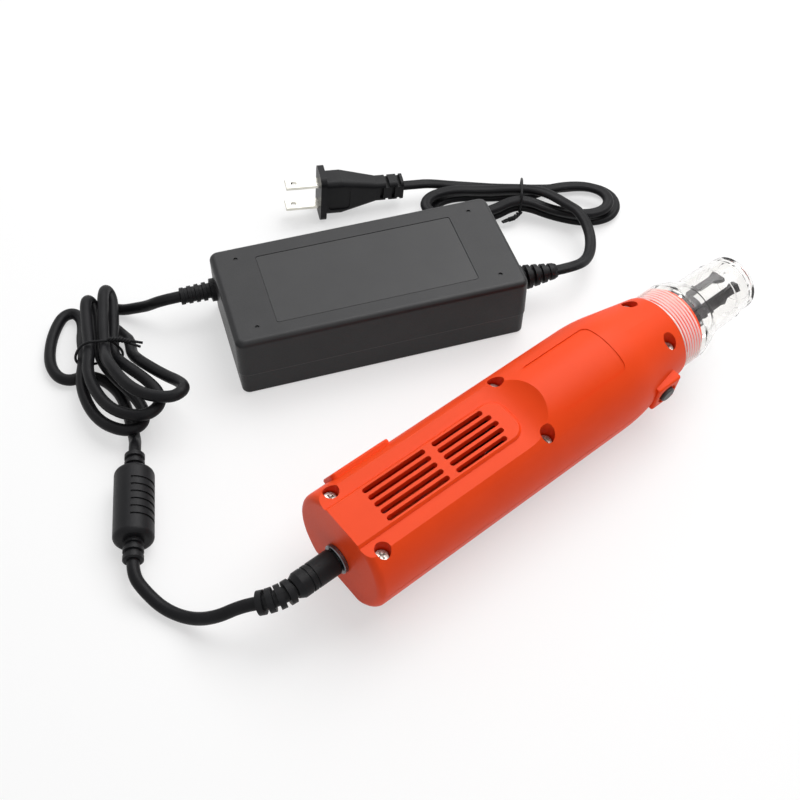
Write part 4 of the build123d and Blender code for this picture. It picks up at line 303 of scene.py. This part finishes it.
def spline_of(name, points, radius, look, resolution=8):
    """Curve of one open NURBS spline with a round section. Points are in millimetres."""
    data = bpy.data.curves.new(name, "CURVE")
    data.dimensions = "3D"
    data.resolution_u = resolution
    data.bevel_depth = radius * MM
    data.bevel_resolution = 5
    data.use_fill_caps = True
    line = data.splines.new("NURBS")
    line.points.add(len(points) - 1)
    for spot, point in zip(line.points, points):
        spot.co = (point[0] * MM, point[1] * MM, point[2] * MM, 1.0)
    line.order_u = 3
    line.use_endpoint_u = True
    data.materials.append(look)
    made = bpy.data.objects.new(name, data)
    scene.collection.objects.link(made)
    return made


def frame_at(origin, heading):
    """Turns (ahead, left, up) of a place on the table into millimetres of the part's frame."""
    turn = radians(heading)

    def place(point):
        ahead, left, up = point
        return (
            origin[0] + ahead * cos(turn) - left * sin(turn),
            origin[1] + ahead * sin(turn) + left * cos(turn),
            up,
        )

    return place


def heading_dir(heading):
    """Level direction at a heading in degrees."""
    return Vector((cos(radians(heading)), sin(radians(heading)), 0))


LOBE_SHARES = ((0.34, 0.74), (0.68, 1.0), (0.92, 0.68))  # of a lobe's length and half width
FOLD_SHARES = ((0.45, 1.15), (1.0, 1.0))
TIP_SHARE = 0.8  # of a lobe's length, where it starts to change height for its tip
HANK_HOLD = 4.0  # straight stretch of a leg to either side of the waist


def lobe_points(way, leg_in, leg_out, length, lean, bend, width, out_height, tip_height, back_height):
    """Round lobe of a hank: its middle line leans sideways at the waist and bends on towards the tip."""
    middle = (leg_in[0] + leg_out[0]) / 2
    hand = 1 if leg_in[0] > leg_out[0] else -1

    def spot(share, wide, height):
        chord = radians(lean + bend * share / 2)
        turned = radians(lean + bend * share)
        ahead = cos(chord) * length * share - sin(turned) * hand * wide
        aside = sin(chord) * length * share + cos(turned) * hand * wide
        return (way * ahead, middle + aside, height)

    def height_at(share, height):
        return height if share < TIP_SHARE else (height + tip_height) / 2

    route = [spot(share, width * wide, height_at(share, out_height)) for share, wide in LOBE_SHARES]
    route.append(spot(1, 0, tip_height))
    for share, wide in reversed(LOBE_SHARES):
        route.append(spot(share, -width * wide, height_at(share, back_height)))
    return route


def fold_points(way, leg_in, leg_out, length, lean):
    """Tight fold of a hank: the strand comes back close above the one that goes out."""
    middle = (leg_in[0] + leg_out[0]) / 2
    half = (leg_in[0] - leg_out[0]) / 2

    def spot(share, wide, height):
        ahead = cos(radians(lean)) * length * share - sin(radians(lean)) * half * wide
        aside = sin(radians(lean)) * length * share + cos(radians(lean)) * half * wide
        return (way * ahead, middle + aside, height)

    route = [spot(share, wide, leg_in[1]) for share, wide in FOLD_SHARES]
    return route + [spot(share, -wide, leg_out[1]) for share, wide in reversed(FOLD_SHARES)]


def hank_points(place, way, legs, turns):
    """Route of a tied hank, as in the part: legs pass the waist, lobes and folds join them at either end.

    way is 1 if the first turn is ahead of the waist, -1 if it is behind. legs are (left, up) at the waist.
    A lobe is (length, lean and bend in degrees, half width, height going out, at the tip, coming back),
    a fold (length, lean).
    """
    route = []
    for index, leg in enumerate(legs):
        route += [(-way * HANK_HOLD, *leg), (way * HANK_HOLD, *leg)]
        if index < len(turns):
            turn_points = lobe_points if len(turns[index]) > 2 else fold_points
            route += turn_points(way, leg, legs[index + 1], *turns[index])
        way = -way
    return [place(point) for point in route]


# Ends of the pieces that the leads run between
FLOOR_GAP = 0.2  # under a lead that lies on the table
BEAD_HEADING = 56.8
BEAD_LENGTH = 34.5
BEAD_NECK = 9.2
ADAPTER_HEADING = -23.2
bead = Vector((-153.85, 80.4, 8.25))
bead_dir = heading_dir(BEAD_HEADING)
bead_reach = BEAD_LENGTH / 2 + BEAD_NECK
bead_near = bead - bead_dir * bead_reach
bead_far = bead + bead_dir * bead_reach
adapter_at = frame_at((-10.25, 107.7), ADAPTER_HEADING)
adapter_dir = heading_dir(ADAPTER_HEADING)
dc_relief_tip = Vector(adapter_at((-82.0, 22.6, 15.6)))
ac_relief_tip = Vector(adapter_at((87.0, -11.3, 15.6)))

# DC lead from the plug's tail to the bead
DC_WIDE = 5.2
SOCKET_DROP = 3.0  # below the tool's axis
TAIL_X = 21.1  # start of the tail's bend, behind the tool's rear face
TAIL_RADIUS = 19.0
END_RUN = 6.0  # straight stretch at either end
RELIEF_RUN = 9.0  # straight stretch at the adapter
tail_bend = radians(44.0)
tail_dip = radians(25.0)
tail_height = AXIS_HEIGHT - SOCKET_DROP * cos(roll)
tail_start = Vector((TOOL_REAR - TAIL_X, AXIS_Y + SOCKET_DROP * sin(roll), tail_height))
tail_side = Vector((0, cos(tail_dip), -sin(tail_dip)))
tail_back = Vector((-1, 0, 0)) * (TAIL_RADIUS * sin(tail_bend))
tail_end = tail_start + tail_back + tail_side * (TAIL_RADIUS * (1 - cos(tail_bend)))
tail_dir = Vector((-cos(tail_bend), 0, 0)) + tail_side * sin(tail_bend)
dc_tool_points = [
    tail_end,
    tail_end + tail_dir * END_RUN,
    (-158.8, 15.8, 10.8),
    (-164.8, 25.0, 4.2),
    (-169.6, 35.8, 2.8),
    (-171.4, 46.2, 5.0),
    bead_near - bead_dir * END_RUN,
    bead_near,
]
dc_tool = spline_of("dc_lead_tool_end", dc_tool_points, DC_WIDE / 2, cord_skin)
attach(dc_tool, "tool")
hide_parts("dc_cord_tool_end")

# DC hank, in layers z1 to z4, and the lead on to the adapter
DC_LAYER_GAP = 0.75
BEAD_RUN = 4.2
HANK_RUN = 7.0  # straight stretch where a lead leaves its hank
dc_place = frame_at((-119.35, 160.7), 62.1)
z1, z2, z3, z4 = [DC_WIDE / 2 + FLOOR_GAP + (DC_WIDE + DC_LAYER_GAP) * layer for layer in range(4)]
dc_legs = ((8.0, z2), (1.0, z2), (4.6, z3), (-5.2, z2), (-2.0, z3), (-12.8, z2))
dc_turns = (
    (50.5, 5.5, -54.5, 10.0, z2, z2 + 0.8, z2),
    (29.5, 0.0),
    (49.5, 9.0, -72.5, 11.0, z3, z3 + 2.0, z3),
    (34.5, -3.0),
    (50.0, 5.0, -75.0, 9.5, z4 + 1.8, z4 + 1.8, z3),
)
dc_entry = (
    (-50.0, -9.9, z1 + 0.6),
    (-42.0, -9.3, z1),
    (-32.0, -8.0, z1),
    (-22.5, -6.0, z1),
    (-15.0, -2.0, z1),
    (-9.0, 4.0, z1),
    (-7.5, 10.0, z1),
    (-9.0, 15.5, z1),
    (-5.5, 21.0, z1),
    (3.5, 24.0, z1),
    (15.5, 23.0, z1),
    (25.5, 20.0, z1),
    (32.0, 16.5, z1),
    (33.0, 11.5, z1),
    (28.0, 8.5, z1),
    (20.0, 8.0, z1 + 1.4),
    (11.0, 8.5, z2 - 2.0),
)
dc_exit = (
    (13.0, -9.8, z1 + 0.5),
    (20.0, -5.5, z1),
    (24.5, -0.5, z1),
    (30.0, 0.0, z1),
    (32.5, -5.0, z1),
    (29.5, -10.5, z1 + 0.4),
    (26.5, -16.5, z1 + 3.5),
)
dc_out = [Vector(dc_place(point)) for point in dc_exit]
dc_hank_points = [bead_far, bead_far + bead_dir * BEAD_RUN]
dc_hank_points += [dc_place(point) for point in dc_entry]
dc_hank_points += hank_points(dc_place, -1, dc_legs, dc_turns)
dc_hank_points += [*dc_out, dc_out[-1] + (dc_out[-1] - dc_out[-2]).normalized() * HANK_RUN]
dc_hank_points += [dc_relief_tip - adapter_dir * RELIEF_RUN, dc_relief_tip]
dc_hank = spline_of("dc_lead_hank", dc_hank_points, DC_WIDE / 2, cord_skin)
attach(dc_hank, "tool")
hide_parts("dc_cord_hank", "dc_cord_adapter_end")

# AC lead from the adapter through its hank, in layers a1 to a3, to the mains plug
AC_TALL = 4.6
AC_LAYER_GAP = 0.7
TIE_LIFT = 2.2  # of the legs, for the tie under them
PLUG_LENGTH = 42.0  # from the blade side of the flange to the end of the tail
PLUG_RUN = 7.0
plug_heading = radians(-28.0)
plug_tilt = radians(4.0)
plug_dir = Vector((cos(plug_heading) * cos(plug_tilt), sin(plug_heading) * cos(plug_tilt), -sin(plug_tilt)))
plug_tail = Vector((16.65, 179.2, 13.2)) + plug_dir * PLUG_LENGTH
ac_place = frame_at((96.65, 118.2), -44.5)
a1 = AC_TALL / 2 + FLOOR_GAP
a2 = a1 + AC_TALL + AC_LAYER_GAP
a3 = a2 + AC_TALL + AC_LAYER_GAP
v1 = a1 + TIE_LIFT
v2 = a2 + TIE_LIFT
ac_entry = ((-36.0, 8.4, 4.5), (-24.0, 10.1, a1 + 0.3), (-13.0, 9.6, a1 + 0.5))
ac_legs = ((8.1, v1), (-5.4, v1), (2.4, v1), (-6.8, v2), (1.9, v2))
ac_turns = (
    (48.0, 0.4, 0.0, 14.0, a1, a1, a1),
    (44.8, -11.1, 0.0, 9.9, a1, a1, a1),
    (44.0, 0.9, 0.0, 11.2, a2, a2, a2),
    (48.7, -11.3, 0.0, 10.5, a2, a2, a2),
)
ac_exit = ((13.0, -3.7, a3 - 0.3), (23.0, -12.7, a3 + 0.2))
ac_out = [Vector(ac_place(point)) for point in ac_exit]
ac_points = [plug_tail, plug_tail + plug_dir * PLUG_RUN, plug_tail + plug_dir * (2 * PLUG_RUN)]
ac_points += [ac_place(point) for point in ac_entry]
ac_points += hank_points(ac_place, 1, ac_legs, ac_turns)
ac_points += [*ac_out, ac_out[1] + (ac_out[1] - ac_out[0]).normalized() * HANK_RUN]
ac_points += [(101.75, 76.0, 10.0), (94.25, 67.6, 8.6), (84.35, 61.6, 11.2)]
ac_points += [ac_relief_tip + adapter_dir * RELIEF_RUN, ac_relief_tip]
ac_points.reverse()

# Section of the flat two-core lead: two rounds side by side with a groove between them
AC_WIDE = 5.4
CORE_RADIUS = 1.65
CORE_ARC = 250.0  # degrees of each round, outside the groove
CORE_STEPS = 8


def flat_section(name):
    """Outline of the flat lead, for a curve to carry along."""
    core_offset = AC_WIDE / 2 - CORE_RADIUS
    outline = []
    for core, facing in ((1, 0.0), (-1, 180.0)):
        for step in range(CORE_STEPS + 1):
            turn = radians(facing - CORE_ARC / 2 + step * CORE_ARC / CORE_STEPS)
            outline.append((core * core_offset + CORE_RADIUS * cos(turn), CORE_RADIUS * sin(turn)))
    data = bpy.data.curves.new(name, "CURVE")
    data.dimensions = "2D"
    ring = data.splines.new("POLY")
    ring.points.add(len(outline) - 1)
    for spot, point in zip(ring.points, outline):
        spot.co = (point[0] * MM, point[1] * MM, 0.0, 1.0)
    ring.use_cyclic_u = True
    return bpy.data.objects.new(name, data)


section_shape = flat_section("ac_section")
ac_lead = spline_of("ac_lead", ac_points, 0.0, cord_skin)
ac_lead.data.bevel_mode = "OBJECT"
ac_lead.data.bevel_object = section_shape
ac_lead.data.twist_mode = "Z_UP"
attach(ac_lead, "tool")
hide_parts("ac_cord_adapter_end", "ac_cord_hank", "ac_cord_plug_end")


# Twist ties: a coated wire goes round the legs and its two ends are twisted together

TIE_RADIUS = 0.6
TWIST_REACH = 1.25 * TIE_RADIUS  # from the middle of the twist to a strand's middle
TWIST_STEP = 60.0  # degrees from one point of a strand to the next
TURN_STEPS = 6


def twist_tie(name, node, place, ring, path, tails, turns):
    """One wire: a tail, a strand of the twist, the ring round the legs, the other strand, the other tail.

    ring points are (left, up) at the waist, path points and tails are (ahead, left, up).
    """
    line = [Vector(point) for point in path]
    strands = ([], [])
    steps = turns * TURN_STEPS
    for step in range(steps + 1):
        share = step / steps * (len(line) - 1)
        index = min(int(share), len(line) - 2)
        middle = line[index].lerp(line[index + 1], share - index)
        along = (line[index + 1] - line[index]).normalized()
        side = along.cross(Vector((0, 0, 1))).normalized()
        rise = side.cross(along)
        for strand, shift in zip(strands, (0.0, 180.0)):
            turn = radians(shift + TWIST_STEP * step)
            strand.append(middle + (side * cos(turn) + rise * sin(turn)) * TWIST_REACH)
    route = [Vector(tails[0]), *reversed(strands[0])]
    route += [Vector((line[0].x, left, up)) for left, up in ring]
    route += [*strands[1], Vector(tails[1])]
    made = spline_of(name, [place(point) for point in route], TIE_RADIUS, tie_skin, resolution=6)
    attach(made, "tool")
    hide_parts(node)


dc_ring = (
    (0.0, 18.6), (5.5, 19.0), (9.4, 15.5), (12.0, 9.6), (10.2, 4.8), (1.0, 4.8), (-7.6, 4.6), (-9.6, 9.4),
    (-6.6, 16.0),
)
dc_twist = ((-2.8, -4.0, 18.6), (-4.2, -9.5, 18.8), (-6.2, -14.0, 18.2))
dc_tails = ((-9.6, -17.6, 18.2), (-6.4, -18.8, 17.0))
twist_tie("dc_tie", "dc_twist_tie", dc_place, dc_ring, dc_twist, dc_tails, 4)
ac_ring = (
    (-9.6, 9.0), (-8.4, 14.2), (1.0, 14.4), (6.4, 12.4), (11.6, 8.4), (10.8, 3.2), (2.0, 1.6), (-6.4, 1.6),
)
ac_twist = ((0.0, -8.5, 3.9), (-3.0, -14.0, 4.6), (-6.0, -15.0, 4.0))
ac_tails = ((-9.0, -15.5, 2.8), (-8.4, -17.4, 4.4))
twist_tie("ac_tie", "ac_twist_tie", ac_place, ac_ring, ac_twist, ac_tails, 3)


# Rubber dome behind the button, drawn at rest; the real one flattens as the button goes in

DOME_STEPS = 48
BUTTON_X = 155.2  # station from the tool's rear face
SWITCH_REACH = 17.7  # from the tool's axis to the switch's face
WELD_GAP = 1e-7
dome_foot = Vector((BUTTON_X + TOOL_REAR, AXIS_Y, AXIS_HEIGHT)) - left_dir * SWITCH_REACH
dome_outside = (
    (3.0, 0.0), (3.0, 0.3), (2.8, 0.9), (2.3, 1.7), (1.8, 2.3), (1.6, 2.62), (1.4, 2.68), (0.0, 2.68),
)
dome_inside = ((0.0, 2.0), (1.2, 2.0), (1.7, 1.5), (2.3, 0.6), (2.4, 0.0))


def turned_mesh(name, foot, axis, start, profile):
    """Closed mesh of a profile of (radius, height) points, turned round an axis through foot."""
    other = axis.cross(start)
    points = []
    for reach, height in profile:
        for step in range(DOME_STEPS):
            turn = radians(360.0 * step / DOME_STEPS)
            spot = foot + axis * height + (start * cos(turn) + other * sin(turn)) * reach
            points.append(spot * MM)
    faces = []
    for ring in range(len(profile)):
        ahead = (ring + 1) % len(profile)
        if profile[ring][0] == profile[ahead][0] == 0:
            continue
        for step in range(DOME_STEPS):
            beside = (step + 1) % DOME_STEPS
            corners = (ring, step), (ahead, step), (ahead, beside), (ring, beside)
            faces.append([row * DOME_STEPS + column for row, column in corners])
    made = bpy.data.meshes.new(name)
    made.from_pydata(points, [], faces)
    welded = bmesh.new()
    welded.from_mesh(made)
    bmesh.ops.remove_doubles(welded, verts=welded.verts, dist=WELD_GAP)
    bmesh.ops.recalc_face_normals(welded, faces=welded.faces)
    welded.to_mesh(made)
    welded.free()
    for face in made.polygons:
        face.use_smooth = True
    return made


dome_mesh = turned_mesh("dome_rubber", dome_foot, -left_dir, Vector((1, 0, 0)), dome_outside + dome_inside)
dome_mesh.materials.append(black_plain)
dome = bpy.data.objects.new("dome_rubber", dome_mesh)
scene.collection.objects.link(dome)
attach(dome, "tool")
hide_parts("button_dome")
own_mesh(dome)


# Floor and backdrop

FLOOR_SIZE = 6.0
FLOOR_DROP = 0.0002  # below the part
FLOOR_TONE = (0.86, 0.86, 0.86, 1.0)
FLOOR_GLOW = 0.55  # share of plain white in the floor that is seen
WORLD_LIGHT = 0.30  # on the part, where the backdrop that is seen has 1
WHITE = (1.0, 1.0, 1.0, 1.0)


def shown_rays(tree):
    """1 for the rays that show the white background: seen directly, in metal or through glass."""
    path = node_of(tree, "ShaderNodeLightPath")
    shown = path.outputs["Is Camera Ray"]
    for kind in ("Is Glossy Ray", "Is Transmission Ray"):
        shown = math_of(tree, "MAXIMUM", shown, path.outputs[kind])
    return shown


bpy.ops.mesh.primitive_plane_add(size=FLOOR_SIZE, location=(0.0, 0.0, -FLOOR_DROP))
floor = bpy.context.object
floor.name = "floor"
floor_look = bpy.data.materials.new("floor_white")
floor_look.use_nodes = True
floor_tree = floor_look.node_tree
floor_shader = floor_tree.nodes["Principled BSDF"]
floor_shader.inputs["Base Color"].default_value = FLOOR_TONE
floor_shader.inputs["Roughness"].default_value = 0.6
floor_shader.inputs["Specular IOR Level"].default_value = 0.1
glow = node_of(floor_tree, "ShaderNodeEmission")
glow.inputs["Color"].default_value = WHITE
glow.inputs["Strength"].default_value = 1.0
seen = math_of(floor_tree, "MULTIPLY", shown_rays(floor_tree), FLOOR_GLOW)
mix_surface(floor_tree, seen, glow.outputs["Emission"])
floor.data.materials.append(floor_look)

world = bpy.data.worlds.new("studio")
scene.world = world
world.use_nodes = True
world_tree = world.node_tree
backdrop = world_tree.nodes["Background"]
backdrop.inputs["Color"].default_value = WHITE
level = node_of(world_tree, "ShaderNodeMapRange")
level.inputs["To Min"].default_value = WORLD_LIGHT
level.inputs["To Max"].default_value = 1.0
world_tree.links.new(shown_rays(world_tree), level.inputs["Value"])
world_tree.links.new(level.outputs["Result"], backdrop.inputs["Strength"])


# Lamps and camera, in metres

def aim(item, place, target):
    """Puts a lamp or camera at a place, facing a target, and adds it to the scene."""
    item.location = place
    item.rotation_euler = (Vector(target) - Vector(place)).to_track_quat("-Z", "Y").to_euler()
    scene.collection.objects.link(item)


def soft_light(name, place, target, size, power):
    """Rectangular area light that faces a point."""
    data = bpy.data.lights.new(name, "AREA")
    data.shape = "RECTANGLE"
    data.size, data.size_y = size
    data.energy = power
    aim(bpy.data.objects.new(name, data), place, target)


soft_light("key", (0.55, 0.10, 1.05), (-0.02, 0.06, 0.0), (1.1, 1.1), 13.0)
soft_light("panel", (0.54, 0.74, 1.02), (0.0, 0.10, 0.03), (1.4, 1.2), 7.0)
soft_light("fill", (-0.45, -0.65, 0.90), (0.0, 0.05, 0.0), (0.8, 0.8), 1.2)

CAMERA_PLACE = (-0.26385, -0.2150, 0.4240)
CAMERA_TARGET = (-0.03175, 0.0597, 0.0)
camera_data = bpy.data.cameras.new("camera")
camera_data.lens = 57.15
camera_data.sensor_width = 36.0
camera = bpy.data.objects.new("camera", camera_data)
aim(camera, CAMERA_PLACE, CAMERA_TARGET)
scene.camera = camera
